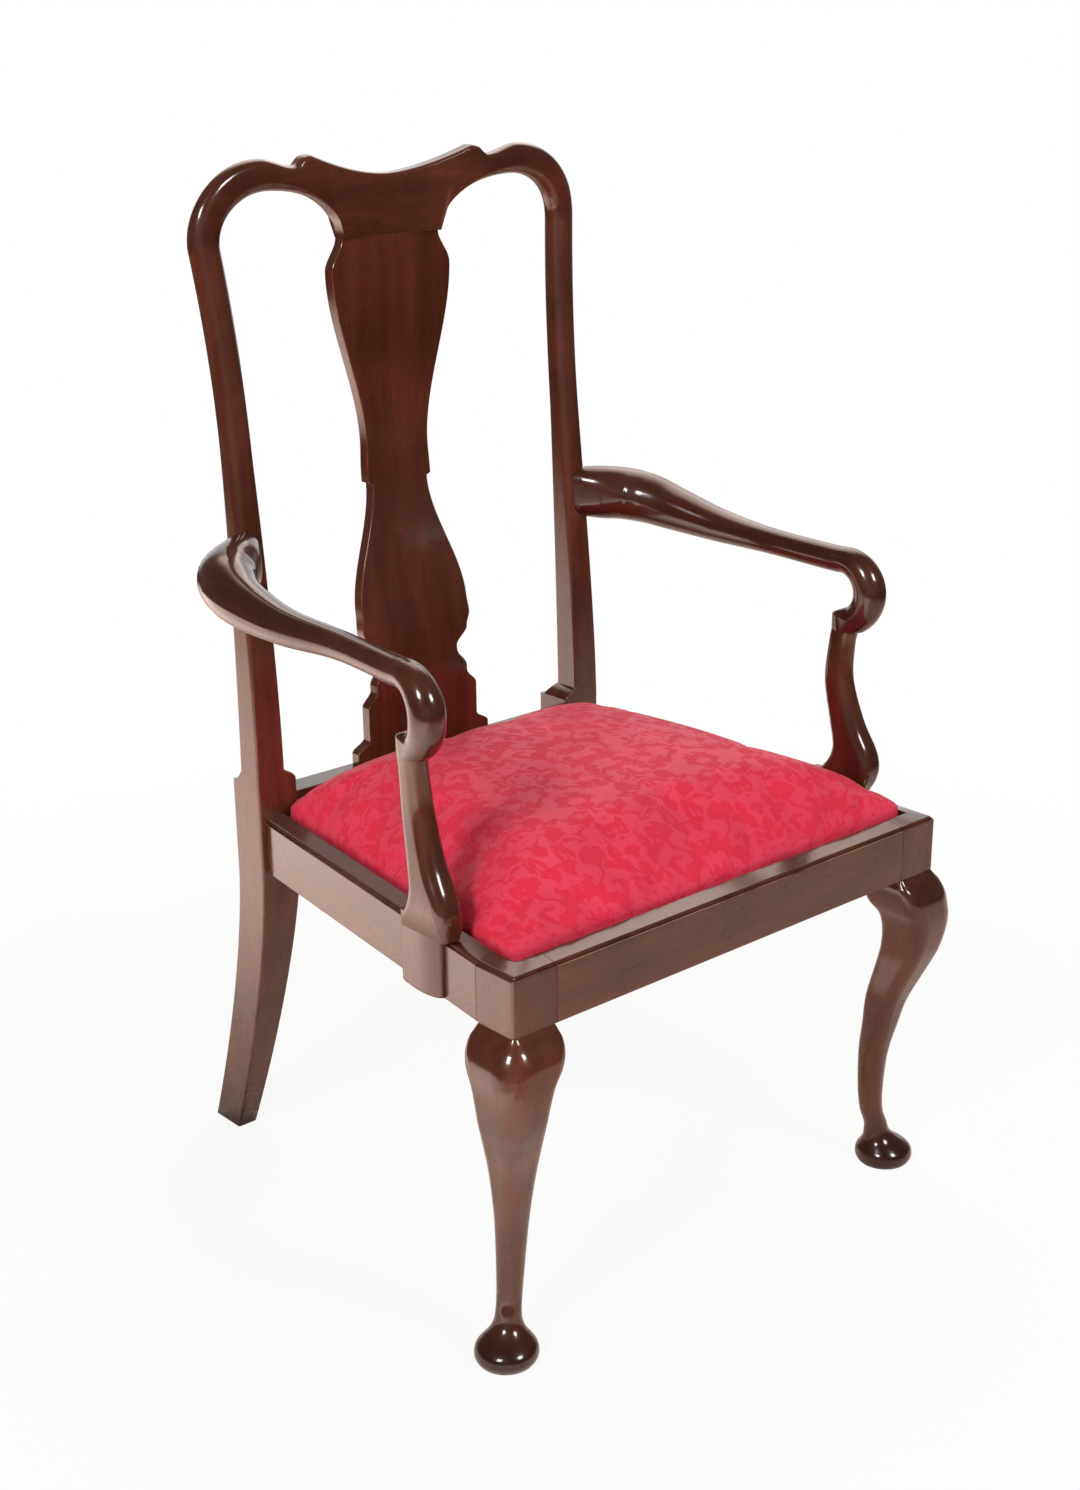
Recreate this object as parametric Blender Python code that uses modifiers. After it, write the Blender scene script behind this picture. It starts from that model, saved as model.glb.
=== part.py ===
"""Child's open armchair with cabriole legs, a vase splat, crook arms and a drop-in seat.

Metres, +Z up. The chair stands on Z = 0, faces -Y and is symmetric in X. Every glued joint is a
real tenon, dowel or lap with a small gap round it, and the slip seat lifts out of its rebate.
"""

import math

import bmesh
import bpy
from mathutils import Matrix, Vector

# Seat frame
RAIL_TOP = 0.2845
RAIL_DEPTH = 0.0425
RAIL_THICKNESS = 0.028
EDGE_ROUNDING = 0.002
FRONT_WIDTH = 0.396
REAR_WIDTH = 0.316
SEAT_DEPTH = 0.315
SEAT_LIP = 0.015
SEAT_REBATE = 0.0206
REAR_RAIL_THICKNESS = 0.038

# Joints between glued pieces
FIT = 0.0003
TENON_THICKNESS = 0.009
TENON_HEIGHT = 0.015
TENON_LENGTH = 0.0155
TENON_SHOULDER = 0.003
TENON_SETBACK = 0.0085

# Front legs
LEG_BLOCK = 0.035
PAD_FOOT_RADIUS = 0.0214
ANKLE_HEIGHT = 0.032
ANKLE_RADIUS = 0.0086
FOOT_LEAN = 0.0095

# Rear legs and stiles
POST_PROUD = 0.0045
POST_WIDTH = 0.0332
POST_DEPTH = 0.032
POST_RISE = 0.0225
POST_STEP = 0.0085
POST_BACK_STEP = 0.006
REAR_FOOT_WIDTH = 0.0165
REAR_FOOT_DEPTH = 0.0318
REAR_FOOT_SETBACK = 0.077
REAR_FOOT_TOE_IN = 0.015
STILE_HEIGHT = 0.365
STILE_WIDTH = 0.0235
STILE_WAIST_WIDTH = 0.0198
STILE_TOP_WIDTH = 0.0216
STILE_WAIST_DRAW = 0.0036
STILE_TOP_FLARE = 0.0080
STILE_WAIST_SHARE = 0.62
STILE_DEPTH = 0.0216
STILE_TOP_DEPTH = 0.0178
STILE_RAKE = 0.0275
STILE_TENON = 0.009
STILE_TENON_LENGTH = 0.013

# Crest rail, its heights measured from the joint on the stiles
EAR_TOP_HEIGHT = 0.0568
EAR_TOP_X = 0.1125
VALLEY_HEIGHT = 0.0508
VALLEY_X = 0.0845
HUMP_HEIGHT = 0.0573
HUMP_X = 0.0700
CREST_DIP_HEIGHT = 0.0416
ARCH_HEIGHT = 0.0357
ARCH_X = 0.1066
NECK_HALF_WIDTH = 0.0425
CREST_CENTRE_DEPTH = 0.0118
EAR_DEPTH = 0.0135

# Splat and its shoe
SHOE_FRONT_SETBACK = 0.005
SHOE_DEPTH = 0.025
SHOE_RISE = 0.009
SPLAT_THICKNESS = 0.009
SPLAT_FOOT_SETBACK = 0.011
SPLAT_SPOON = 0.0225
SPLAT_SPOON_SHARE = 0.65
SPLAT_BASE_HALF = 0.0623
SPLAT_PLINTH_HALF = 0.0514
SPLAT_COLLAR_HALF = 0.0431
SPLAT_PINCH_HALF = 0.0349
SPLAT_LOWER_HALF = 0.0500
SPLAT_WAIST_HALF = 0.0251
SPLAT_NOTCH_HALF = 0.0287
SPLAT_UPPER_HALF = 0.0525
SPLAT_TENON_THICKNESS = 0.005
SPLAT_TENON_LENGTH = 0.011

# Arms and their supports
ARM_REAR_RISE = 0.1852
ARM_FRONT_RISE = 0.1664
ARM_REACH_SHARE = 0.69968
ARM_FLARE = 0.0025
ARM_REAR_HALF_HEIGHT = 0.0190
ARM_SWELL = 0.0198
ARM_WAIST_RADIUS = 0.0095
CROOK_RADIUS = 0.0225
CROOK_THICKNESS = 0.0117
CROOK_SWEEP = 186.0
SUPPORT_TOP_HALF = 0.0088
SUPPORT_LEAN = 0.0136
SUPPORT_FOOT_LENGTH = 0.045
SUPPORT_OVERLAP = 0.0055
LAP_WIDTH = 0.034
LAP_PROUD = 0.007
DOWEL_RADIUS = 0.0035
DOWEL_LENGTH = 0.021

# Corner blocks and screws
CORNER_BLOCK_HEIGHT = 0.020
CORNER_BLOCK_REACH = 0.046
SCREW_HEAD_RADIUS = 0.0035
SCREW_HEAD_HEIGHT = 0.0022
SCREW_SHANK_RADIUS = 0.0017
SCREW_BITE = 0.013
LAP_SCREW_BITE = 0.0045
ARM_SCREW_BITE = 0.008
BLOCK_SCREW_GRIP = 0.010

# Slip seat
SEAT_CLEARANCE = 0.001
SEAT_FRAME_WIDTH = 0.036
SEAT_FRAME_THICKNESS = 0.012
WEBBING_WIDTH = 0.044
WEBBING_THICKNESS = 0.0012
HESSIAN_THICKNESS = 0.0008
COVER_THICKNESS = 0.0012
COVER_HEM = 0.018
EDGE_RISE = 0.0065
CROWN_RISE = 0.0475
DRAW_IN = 0.0012

# Places worked out from the sizes above
LEDGE = RAIL_TOP - SEAT_REBATE
RAIL_BOTTOM = RAIL_TOP - RAIL_DEPTH
FRONT_Y = -SEAT_DEPTH / 2
POST_Y = SEAT_DEPTH / 2
BLOCK_BACK_Y = FRONT_Y + LEG_BLOCK
BLOCK_INNER_X = FRONT_WIDTH / 2 - LEG_BLOCK
POST_OUTER_X = REAR_WIDTH / 2 + POST_PROUD
POST_INNER_X = POST_OUTER_X - POST_WIDTH
POST_TOP = RAIL_TOP + POST_RISE
STILE_BASE = POST_TOP + POST_STEP
CREST_JOINT = POST_TOP + STILE_HEIGHT
SPLAY = (FRONT_WIDTH - REAR_WIDTH) / 2 / (POST_Y - BLOCK_BACK_Y)
SPLAY_STRETCH = math.hypot(1.0, SPLAY)
REAR_RAIL_BACK = POST_Y + POST_DEPTH - EDGE_ROUNDING
REAR_RAIL_FRONT = REAR_RAIL_BACK - REAR_RAIL_THICKNESS
SHOE_FRONT = POST_Y + SHOE_FRONT_SETBACK
SHOE_TOP = RAIL_TOP + SHOE_RISE

PARTS_NAME = "child_armchair"
CUTTERS_NAME = "child_armchair_cutters"


def clear_scene():
    for obj in list(bpy.data.objects):
        bpy.data.objects.remove(obj, do_unlink=True)


def collection(name):
    made = bpy.data.collections.new(name)
    bpy.context.scene.collection.children.link(made)
    return made


def finish(name, colour, roughness, metallic=0.0):
    """A Principled material with one colour, roughness and metallic value."""
    material = bpy.data.materials.new(name)
    material.use_nodes = True
    shader = material.node_tree.nodes["Principled BSDF"]
    shader.inputs["Base Color"].default_value = (*colour, 1.0)
    shader.inputs["Roughness"].default_value = roughness
    shader.inputs["Metallic"].default_value = metallic
    return material


clear_scene()
PARTS = collection(PARTS_NAME)
CUTTERS = collection(CUTTERS_NAME)
ROOT = bpy.data.objects.new("chair_frame", None)
PARTS.objects.link(ROOT)
SEAT_ROOT = bpy.data.objects.new("slip_seat", None)
PARTS.objects.link(SEAT_ROOT)
SEAT_ROOT.parent = ROOT
SEAT_ROOT.location = (0.0, 0.0, LEDGE)

MAHOGANY = finish("mahogany", (0.105, 0.030, 0.018), 0.25)
BEECH = finish("beech", (0.52, 0.36, 0.20), 0.60)
STEEL = finish("screw_steel", (0.45, 0.44, 0.42), 0.40, 1.0)
DAMASK = finish("crimson_damask", (0.58, 0.018, 0.045), 0.75)
JUTE = finish("jute", (0.45, 0.34, 0.20), 0.90)
HAIR = finish("stuffing", (0.30, 0.24, 0.17), 0.95)


# Helpers that make objects

def add(name, mesh, material, place=(0.0, 0.0, 0.0), parent=None):
    """A finished sub-part, shaded smooth except at its sharp edges."""
    obj = bpy.data.objects.new(name, mesh)
    mesh.materials.clear()
    mesh.materials.append(material)
    mesh.shade_smooth()
    mesh.set_sharp_from_angle(angle=math.radians(35.0))
    PARTS.objects.link(obj)
    obj.parent = parent or ROOT
    obj.location = place
    return obj


def tool(name, mesh, place=(0.0, 0.0, 0.0)):
    """A cutting or joining shape, which is never part of the model by itself."""
    obj = bpy.data.objects.new(name, mesh)
    CUTTERS.objects.link(obj)
    obj.parent = ROOT
    obj.location = place
    obj.hide_render = True
    obj.display_type = "WIRE"
    return obj


def combine(obj, other, operation):
    modifier = obj.modifiers.new(other.name, "BOOLEAN")
    modifier.operation = operation
    modifier.solver = "EXACT"
    modifier.object = other


def cut(obj, *cutters):
    for cutter in cutters:
        combine(obj, cutter, "DIFFERENCE")


def fuse(obj, *others):
    for other in others:
        combine(obj, other, "UNION")


def mesh_from(name, bm):
    bmesh.ops.recalc_face_normals(bm, faces=bm.faces)
    mesh = bpy.data.meshes.new(name)
    bm.to_mesh(mesh)
    bm.free()
    return mesh


def box_mesh(name, low, high):
    """A box between two corners."""
    low, high = Vector(low), Vector(high)
    size = high - low
    bm = bmesh.new()
    bmesh.ops.create_cube(bm, size=1.0)
    bmesh.ops.transform(bm, matrix=Matrix.Diagonal((*size, 1.0)), verts=bm.verts)
    bmesh.ops.translate(bm, vec=(low + high) / 2, verts=bm.verts)
    return mesh_from(name, bm)


def prism_mesh(name, outline, low, high):
    """A flat outline in X and Y, filled and extruded from one height to another."""
    curve = bpy.data.curves.new(name, "CURVE")
    curve.dimensions = "2D"
    curve.fill_mode = "BOTH"
    curve.extrude = (high - low) / 2
    spline = curve.splines.new("POLY")
    spline.points.add(len(outline) - 1)
    for point, (x, y) in zip(spline.points, outline):
        point.co = (x, y, 0.0, 1.0)
    spline.use_cyclic_u = True
    flat = bpy.data.objects.new(name, curve)
    bpy.context.scene.collection.objects.link(flat)
    evaluated = flat.evaluated_get(bpy.context.evaluated_depsgraph_get())
    mesh = bpy.data.meshes.new_from_object(evaluated)
    bpy.data.objects.remove(flat, do_unlink=True)
    bm = bmesh.new()
    bm.from_mesh(mesh)
    bmesh.ops.remove_doubles(bm, verts=bm.verts, dist=0.00001)
    bmesh.ops.translate(bm, vec=(0.0, 0.0, (low + high) / 2), verts=bm.verts)
    bpy.data.meshes.remove(mesh)
    return mesh_from(name, bm)


def turned_mesh(name, profile, steps=12):
    """A profile of (radius, height) points, top to bottom, turned round Z."""
    mesh = bpy.data.meshes.new(name)
    points = [(radius, 0.0, height) for radius, height in profile]
    edges = [(i, i + 1) for i in range(len(points) - 1)]
    mesh.from_pydata(points, edges, [])
    obj = bpy.data.objects.new(name, mesh)
    bpy.context.scene.collection.objects.link(obj)
    screw = obj.modifiers.new("turn", "SCREW")
    screw.steps = steps
    screw.render_steps = steps
    screw.use_merge_vertices = True
    screw.merge_threshold = 0.00001
    evaluated = obj.evaluated_get(bpy.context.evaluated_depsgraph_get())
    turned = bpy.data.meshes.new_from_object(evaluated)
    bpy.data.objects.remove(obj, do_unlink=True)
    bpy.data.meshes.remove(mesh)
    bm = bmesh.new()
    bm.from_mesh(turned)
    bpy.data.meshes.remove(turned)
    return mesh_from(name, bm)


def loft_mesh(name, rings):
    """A skin over closed rings of equal count, capped at both ends."""
    bm = bmesh.new()
    rows = [[bm.verts.new(point) for point in ring] for ring in rings]
    for below, above in zip(rows, rows[1:]):
        for i in range(len(below)):
            j = (i + 1) % len(below)
            bm.faces.new((below[i], below[j], above[j], above[i]))
    bm.faces.new(rows[0])
    bm.faces.new(rows[-1])
    return mesh_from(name, bm)


def rounded_rectangle(half_u, half_v, radius, corner_points=4):
    """Points round a rectangle with rounded corners, as (u, v)."""
    radius = min(radius, half_u, half_v)
    points = []
    for corner in range(4):
        start = corner * math.pi / 2
        centre_u = math.copysign(half_u - radius, math.cos(start + math.pi / 4))
        centre_v = math.copysign(half_v - radius, math.sin(start + math.pi / 4))
        for step in range(corner_points):
            angle = start + step / (corner_points - 1) * math.pi / 2
            points.append((centre_u + radius * math.cos(angle), centre_v + radius * math.sin(angle)))
    return points


def ring_at(centre, u_axis, v_axis, half_u, half_v, radius):
    centre, u_axis, v_axis = Vector(centre), Vector(u_axis), Vector(v_axis)
    section = rounded_rectangle(half_u, half_v, radius)
    return [centre + u_axis * u + v_axis * v for u, v in section]


def ease(share):
    """A smooth step from 0 to 1."""
    share = min(max(share, 0.0), 1.0)
    return share * share * (3.0 - 2.0 * share)


def spread(first, last, count):
    return [first + (last - first) * i / (count - 1) for i in range(count)]


def smooth_stations(stations, steps):
    """A Catmull-Rom curve through stations of equal length, with steps points a span."""
    padded = [stations[0], *stations, stations[-1]]
    curve = []
    for i in range(1, len(padded) - 2):
        before, start, end, after = padded[i - 1:i + 3]
        for step in range(steps):
            t = step / steps
            curve.append([
                b + 0.5 * t * (c - a + t * (2 * a - 5 * b + 4 * c - d + t * (3 * (b - c) + d - a)))
                for a, b, c, d in zip(before, start, end, after)
            ])
    curve.append(list(stations[-1]))
    return curve


# Plan of the seat

def rail_outer_x(y):
    """Half the width over the side rails at a depth."""
    return FRONT_WIDTH / 2 - SPLAY * (y - BLOCK_BACK_Y)


def inset_x(y, inset):
    """Half the width of the seat plan at a depth, set in square to the side rails."""
    return rail_outer_x(y) - inset * SPLAY_STRETCH


def seat_plan(front, rear, inset):
    """The four corners of the tapered seat plan."""
    front_x, rear_x = inset_x(front, inset), inset_x(rear, inset)
    return [(-front_x, front), (front_x, front), (rear_x, rear), (-rear_x, rear)]


WELL_FRONT = FRONT_Y + SEAT_LIP
WELL_REAR = POST_Y + FIT


def seat_well():
    """The space of the rebate, which every rail and leg block is cut back for."""
    plan = seat_plan(WELL_FRONT, WELL_REAR, SEAT_LIP)
    return tool("seat_well", prism_mesh("seat_well", plan, LEDGE, RAIL_TOP + SEAT_REBATE))


def tenon_box(name, low, high, grow=0.0):
    low, high = Vector(low), Vector(high)
    pad = Vector((grow, grow, grow))
    return tool(name, box_mesh(name, low - pad, high + pad))


# Front legs

FOOT_STATIONS = [
    (0.000, 0.070, 0.888),
    (0.094, 0.070, 0.977),
    (0.203, 0.070, 1.000),
    (0.328, 0.056, 0.949),
    (0.453, 0.014, 0.794),
    (0.594, -0.103, 0.589),
    (0.766, -0.210, 0.453),
    (1.000, -0.280, ANKLE_RADIUS / PAD_FOOT_RADIUS),
]
LEG_STATIONS = [
    (0.053, -0.271, ANKLE_RADIUS / LEG_BLOCK, ANKLE_RADIUS / LEG_BLOCK),
    (0.144, -0.314, 0.269, 0.269),
    (0.286, -0.294, 0.303, 0.280),
    (0.398, -0.191, 0.340, 0.271),
    (0.506, -0.071, 0.391, 0.263),
    (0.622, 0.183, 0.463, 0.271),
    (0.703, 0.354, 0.520, 0.286),
    (0.780, 0.423, 0.571, 0.300),
    (0.835, 0.400, 0.626, 0.320),
    (0.878, 0.286, 0.694, 0.320),
    (0.920, 0.206, 0.706, 0.286),
    (0.958, 0.109, 0.643, 0.200),
    (0.984, 0.029, 0.546, 0.114),
]


def front_leg(side, well):
    """A cabriole leg: a pad foot and ankle lofted up to the knee, under a square block.

    Foot stations give a share of the ankle's height, then the shift out along the leg's diagonal and
    the radius as shares of the pad's radius. Leg stations give a share of the height from ankle to
    block, then the shift, half the section and its corner as shares of the block. The whole leg also
    leans outwards and back towards its foot.
    """
    name = "front_leg_right" if side > 0 else "front_leg_left"
    diagonal = math.sqrt(0.5)
    rise = RAIL_BOTTOM - ANKLE_HEIGHT
    stations = []
    for share, shift, half in FOOT_STATIONS:
        radius = half * PAD_FOOT_RADIUS
        stations.append((ANKLE_HEIGHT * share, shift * PAD_FOOT_RADIUS, radius, radius))
    for share, *sizes in LEG_STATIONS:
        stations.append((ANKLE_HEIGHT + rise * share, *[size * LEG_BLOCK for size in sizes]))
    stations.append((RAIL_BOTTOM - FIT, 0.0, LEG_BLOCK / 2 - FIT, EDGE_ROUNDING))
    stations.append((RAIL_BOTTOM + 2 * EDGE_ROUNDING, 0.0, LEG_BLOCK / 2 - 2 * FIT, EDGE_ROUNDING))
    rings = []
    for height, shift, half, corner in stations:
        lean = FOOT_LEAN * max(1.0 - height / RAIL_BOTTOM, 0.0)
        centre = (side * (lean + shift) * diagonal, (lean - shift) * diagonal, height)
        rings.append(ring_at(centre, (1, 0, 0), (0, 1, 0), half, half, corner))
    centre_x = side * (FRONT_WIDTH - LEG_BLOCK) / 2
    centre_y = FRONT_Y + LEG_BLOCK / 2
    leg = add(name, loft_mesh(name, rings), MAHOGANY, (centre_x, centre_y, 0.0))
    half = LEG_BLOCK / 2
    low = (centre_x - half, centre_y - half, RAIL_BOTTOM)
    high = (centre_x + half, centre_y + half, RAIL_TOP)
    fuse(leg, tool(name + "_block", box_mesh(name + "_block", low, high)))
    cut(leg, well)
    return leg


# Rear legs and stiles

def stile_outer_x(share):
    """The stile's outer edge: drawn in to a waist, then flared to the crest."""
    waist = POST_OUTER_X - STILE_WAIST_DRAW
    if share < STILE_WAIST_SHARE:
        return waist + STILE_WAIST_DRAW * (1.0 - share / STILE_WAIST_SHARE) ** 1.5
    return waist + STILE_TOP_FLARE * ((share - STILE_WAIST_SHARE) / (1.0 - STILE_WAIST_SHARE)) ** 2


def stile_width(share):
    if share < STILE_WAIST_SHARE:
        return STILE_WIDTH + (STILE_WAIST_WIDTH - STILE_WIDTH) * share / STILE_WAIST_SHARE
    above = (share - STILE_WAIST_SHARE) / (1.0 - STILE_WAIST_SHARE)
    return STILE_WAIST_WIDTH + (STILE_TOP_WIDTH - STILE_WAIST_WIDTH) * above


def stile_front_y(share):
    return POST_Y + STILE_RAKE * max(share, 0.0) ** 1.5


def stile_depth(share):
    return STILE_DEPTH + (STILE_TOP_DEPTH - STILE_DEPTH) * share


def stile_share(height):
    return (height - POST_TOP) / STILE_HEIGHT


def stile_centre_x(share):
    return stile_outer_x(share) - stile_width(share) / 2


def rear_leg_sections():
    """(height, inner x, outer x, front y, back y, corner) from the floor to the crest joint."""
    sections = []
    for drop in spread(1.0, 0.0, 13):
        outer = POST_OUTER_X - REAR_FOOT_TOE_IN * drop
        width = POST_WIDTH + (REAR_FOOT_WIDTH - POST_WIDTH) * drop
        front = POST_Y + REAR_FOOT_SETBACK * drop ** 1.37
        depth = POST_DEPTH + (REAR_FOOT_DEPTH - POST_DEPTH) * drop
        sections.append((RAIL_BOTTOM * (1.0 - drop), outer - width, outer, front, front + depth, EDGE_ROUNDING))
    back = POST_Y + POST_DEPTH
    sections.append((POST_TOP, POST_INNER_X, POST_OUTER_X, POST_Y, back, EDGE_ROUNDING))
    for rise in spread(0.25, 1.0, 4):
        share = stile_share(POST_TOP + POST_STEP * rise)
        outer = stile_outer_x(share)
        inner = POST_INNER_X + (outer - stile_width(share) - POST_INNER_X) * rise ** 2
        stile_back = stile_front_y(share) + stile_depth(share)
        step_back = stile_back + POST_BACK_STEP * (1.0 - rise)
        sections.append((POST_TOP + POST_STEP * rise, inner, outer, stile_front_y(share),
                         min(back, step_back), EDGE_ROUNDING))
    for height in spread(STILE_BASE, CREST_JOINT, 17)[1:]:
        share = stile_share(height)
        outer = stile_outer_x(share)
        front = stile_front_y(share)
        corner = EDGE_ROUNDING * (1.0 + 2.5 * ease((share - 0.35) / 0.3))
        sections.append((height, outer - stile_width(share), outer, front,
                         front + stile_depth(share), corner))
    return sections


def rear_leg(side):
    """A raked leg, seat block and stile in one piece, with a tenon up into the crest."""
    name = "rear_leg_right" if side > 0 else "rear_leg_left"
    foot = Vector((side * (POST_OUTER_X - REAR_FOOT_TOE_IN), POST_Y + REAR_FOOT_SETBACK, 0.0))
    rings = []
    for height, inner, outer, front, back, corner in rear_leg_sections():
        centre = Vector((side * (inner + outer) / 2, (front + back) / 2, height)) - foot
        rings.append(ring_at(centre, (1, 0, 0), (0, 1, 0), (outer - inner) / 2, (back - front) / 2, corner))
    leg = add(name, loft_mesh(name, rings), MAHOGANY, foot)
    fuse(leg, crest_tenon(side, 0.0))
    return leg


def crest_tenon(side, grow):
    """The tenon from the stile's top up into the crest, or its mortise when grown."""
    name = "crest_tenon_%s_%d" % ("right" if side > 0 else "left", round(grow * 1e6))
    centre = Vector((side * stile_centre_x(1.0), stile_front_y(1.0) + stile_depth(1.0) / 2, CREST_JOINT))
    half = Vector((STILE_TENON / 2, STILE_TENON / 2, 0.0))
    reach = Vector((0.0, 0.0, STILE_TENON_LENGTH))
    return tenon_box(name, centre - half - reach / 2, centre + half + reach, grow)


# Crest rail

def crest_front_y(x):
    """The crest's front is level with the stiles at its ears and with the splat at its centre."""
    ear, centre = stile_front_y(1.0), splat_front_y(1.0) - 0.0005
    return centre + (ear - centre) * ease(abs(x) / EAR_TOP_X)


def crest_depth(x, height):
    """As deep as the stiles at their joint, thinner over the ears and at the centre."""
    if abs(x) < EAR_TOP_X:
        return CREST_CENTRE_DEPTH + (EAR_DEPTH - CREST_CENTRE_DEPTH) * ease(abs(x) / EAR_TOP_X)
    return STILE_TOP_DEPTH + (EAR_DEPTH - STILE_TOP_DEPTH) * ease(height / (ARCH_HEIGHT + 0.01))


def crest_outline():
    """Pairs of upper and lower outline points, as (x, height), from the right joint to the centre."""
    joint_outer = stile_outer_x(1.0)
    joint_inner = joint_outer - stile_width(1.0)
    pairs = []
    for angle in spread(0.0, math.pi / 2, 8):
        outer = (EAR_TOP_X + (joint_outer - EAR_TOP_X) * math.cos(angle), EAR_TOP_HEIGHT * math.sin(angle))
        inner = (ARCH_X + (joint_inner - ARCH_X) * math.cos(angle), ARCH_HEIGHT * math.sin(angle))
        pairs.append((outer, inner))
    lower = [
        (ARCH_X - (ARCH_X - NECK_HALF_WIDTH) * math.sin(angle), ARCH_HEIGHT * math.cos(angle))
        for angle in spread(0.0, math.pi / 2, 7)[1:]
    ]
    upper = []
    for share in (0.35, 0.7, 1.0):
        x = EAR_TOP_X + (VALLEY_X - EAR_TOP_X) * share
        upper.append((x, EAR_TOP_HEIGHT + (VALLEY_HEIGHT - EAR_TOP_HEIGHT) * ease(share)))
    beak_x = HUMP_X + (VALLEY_X - HUMP_X) * 0.35
    upper.append((beak_x, HUMP_HEIGHT - 0.0008))
    upper.append((HUMP_X, HUMP_HEIGHT))
    upper.append((HUMP_X * 0.80, crest_dip(0.80)))
    pairs += list(zip(upper, lower))
    for share in (0.75, 0.5, 0.25, 0.0):
        pairs.append(((HUMP_X * share * 0.85, crest_dip(share * 0.85)), (NECK_HALF_WIDTH * share, 0.0)))
    return pairs


def crest_dip(share):
    """Height of the hollow between the humps, at a share of the way out to a hump."""
    return CREST_DIP_HEIGHT + (HUMP_HEIGHT - CREST_DIP_HEIGHT) * share ** 1.7


def crest_rail():
    """A yoke rail, lofted between pairs of outline points from one stile to the other."""
    half = crest_outline()
    mirrored = [((-upper[0], upper[1]), (-lower[0], lower[1])) for upper, lower in half[:-1]]
    rings = []
    for upper, lower in half + mirrored[::-1]:
        across = Vector((upper[0] - lower[0], 0.0, upper[1] - lower[1]))
        x = (upper[0] + lower[0]) / 2
        front = crest_front_y(x)
        depth = crest_depth(x, (upper[1] + lower[1]) / 2)
        centre = (x, front + depth / 2, (upper[1] + lower[1]) / 2 + FIT)
        corner = 0.003 + 0.004 * ease((abs(x) - NECK_HALF_WIDTH) / (EAR_TOP_X - NECK_HALF_WIDTH))
        rings.append(ring_at(centre, across.normalized(), (0, 1, 0), across.length / 2, depth / 2, corner))
    crest = add("crest_rail", loft_mesh("crest_rail", rings), MAHOGANY, (0.0, 0.0, CREST_JOINT))
    cut(crest, crest_tenon(1, FIT), crest_tenon(-1, FIT), splat_tenon("top", FIT))
    return crest


# Splat and shoe

SPLAT_BOTTOM = SHOE_TOP + FIT
SPLAT_TOP = CREST_JOINT
SPLAT_HEIGHT = SPLAT_TOP - SPLAT_BOTTOM


def splat_front_y(share):
    foot = POST_Y + SHOE_FRONT_SETBACK + SPLAT_FOOT_SETBACK
    return foot + SPLAT_SPOON * ease(share / SPLAT_SPOON_SHARE)


SPLAT_OUTLINE = [
    (0.000, SPLAT_BASE_HALF, 1),
    (0.026, SPLAT_BASE_HALF, 2),
    (0.048, SPLAT_PLINTH_HALF, 1),
    (0.113, SPLAT_PLINTH_HALF, 3),
    (0.142, SPLAT_COLLAR_HALF, 1),
    (0.154, SPLAT_COLLAR_HALF, 3),
    (0.188, SPLAT_PINCH_HALF, 1),
    (0.197, SPLAT_PINCH_HALF, 5),
    (0.260, SPLAT_LOWER_HALF, 9),
    (0.528, SPLAT_WAIST_HALF, 1),
    (0.532, SPLAT_NOTCH_HALF, 1),
    (0.546, SPLAT_NOTCH_HALF, 2),
    (0.604, SPLAT_NOTCH_HALF - 0.0009, 8),
    (0.940, SPLAT_UPPER_HALF, 5),
    (1.000, NECK_HALF_WIDTH, 1),
]


def splat_stations():
    """(share of the height, half width), eased between the turns of the vase outline."""
    stations = []
    for (start, half, steps), (end, next_half, _) in zip(SPLAT_OUTLINE, SPLAT_OUTLINE[1:]):
        for step in range(steps):
            part = step / steps
            stations.append((start + (end - start) * part, half + (next_half - half) * ease(part)))
    stations.append((1.0, NECK_HALF_WIDTH))
    return stations


def splat():
    """A vase-shaped board, spooned in depth, lofted up its outline, with a tenon at each end."""
    rings = []
    for share, half in splat_stations():
        centre = (0.0, splat_front_y(share) + SPLAT_THICKNESS / 2, SPLAT_BOTTOM + SPLAT_HEIGHT * share)
        rings.append(ring_at(centre, (1, 0, 0), (0, 1, 0), half, SPLAT_THICKNESS / 2, 0.001)[::2])
    board = add("splat", loft_mesh("splat", rings), MAHOGANY)
    fuse(board, splat_tenon("top", 0.0), splat_tenon("bottom", 0.0))
    return board


def splat_tenon(end, grow):
    """A splat tenon, or its mortise when grown."""
    share, half, height = (1.0, NECK_HALF_WIDTH, SPLAT_TOP)
    reach = (-SPLAT_TENON_LENGTH / 2, SPLAT_TENON_LENGTH)
    if end == "bottom":
        share, half, height = (0.0, SPLAT_PLINTH_HALF, SPLAT_BOTTOM)
        reach = (-SHOE_RISE * 0.65, SPLAT_TENON_LENGTH / 2)
    middle = splat_front_y(share) + SPLAT_THICKNESS / 2
    half -= 2 * TENON_SHOULDER
    low = (-half, middle - SPLAT_TENON_THICKNESS / 2, height + reach[0])
    high = (half, middle + SPLAT_TENON_THICKNESS / 2, height + reach[1])
    return tenon_box("splat_tenon_%s_%d" % (end, round(grow * 1e6)), low, high, grow)


def splat_shoe():
    """A block on the rear rail, between the seat blocks, with a mortise for the splat."""
    end = POST_INNER_X - FIT
    low = (-end, SHOE_FRONT, RAIL_TOP + FIT)
    high = (end, SHOE_FRONT + SHOE_DEPTH, SHOE_TOP)
    shoe = add("splat_shoe", box_mesh("splat_shoe", low, high), MAHOGANY)
    cut(shoe, splat_tenon("bottom", FIT))
    return shoe


# Rails

TENON_LOW = RAIL_BOTTOM + TENON_SHOULDER
TENON_HIGH = TENON_LOW + TENON_HEIGHT


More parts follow.
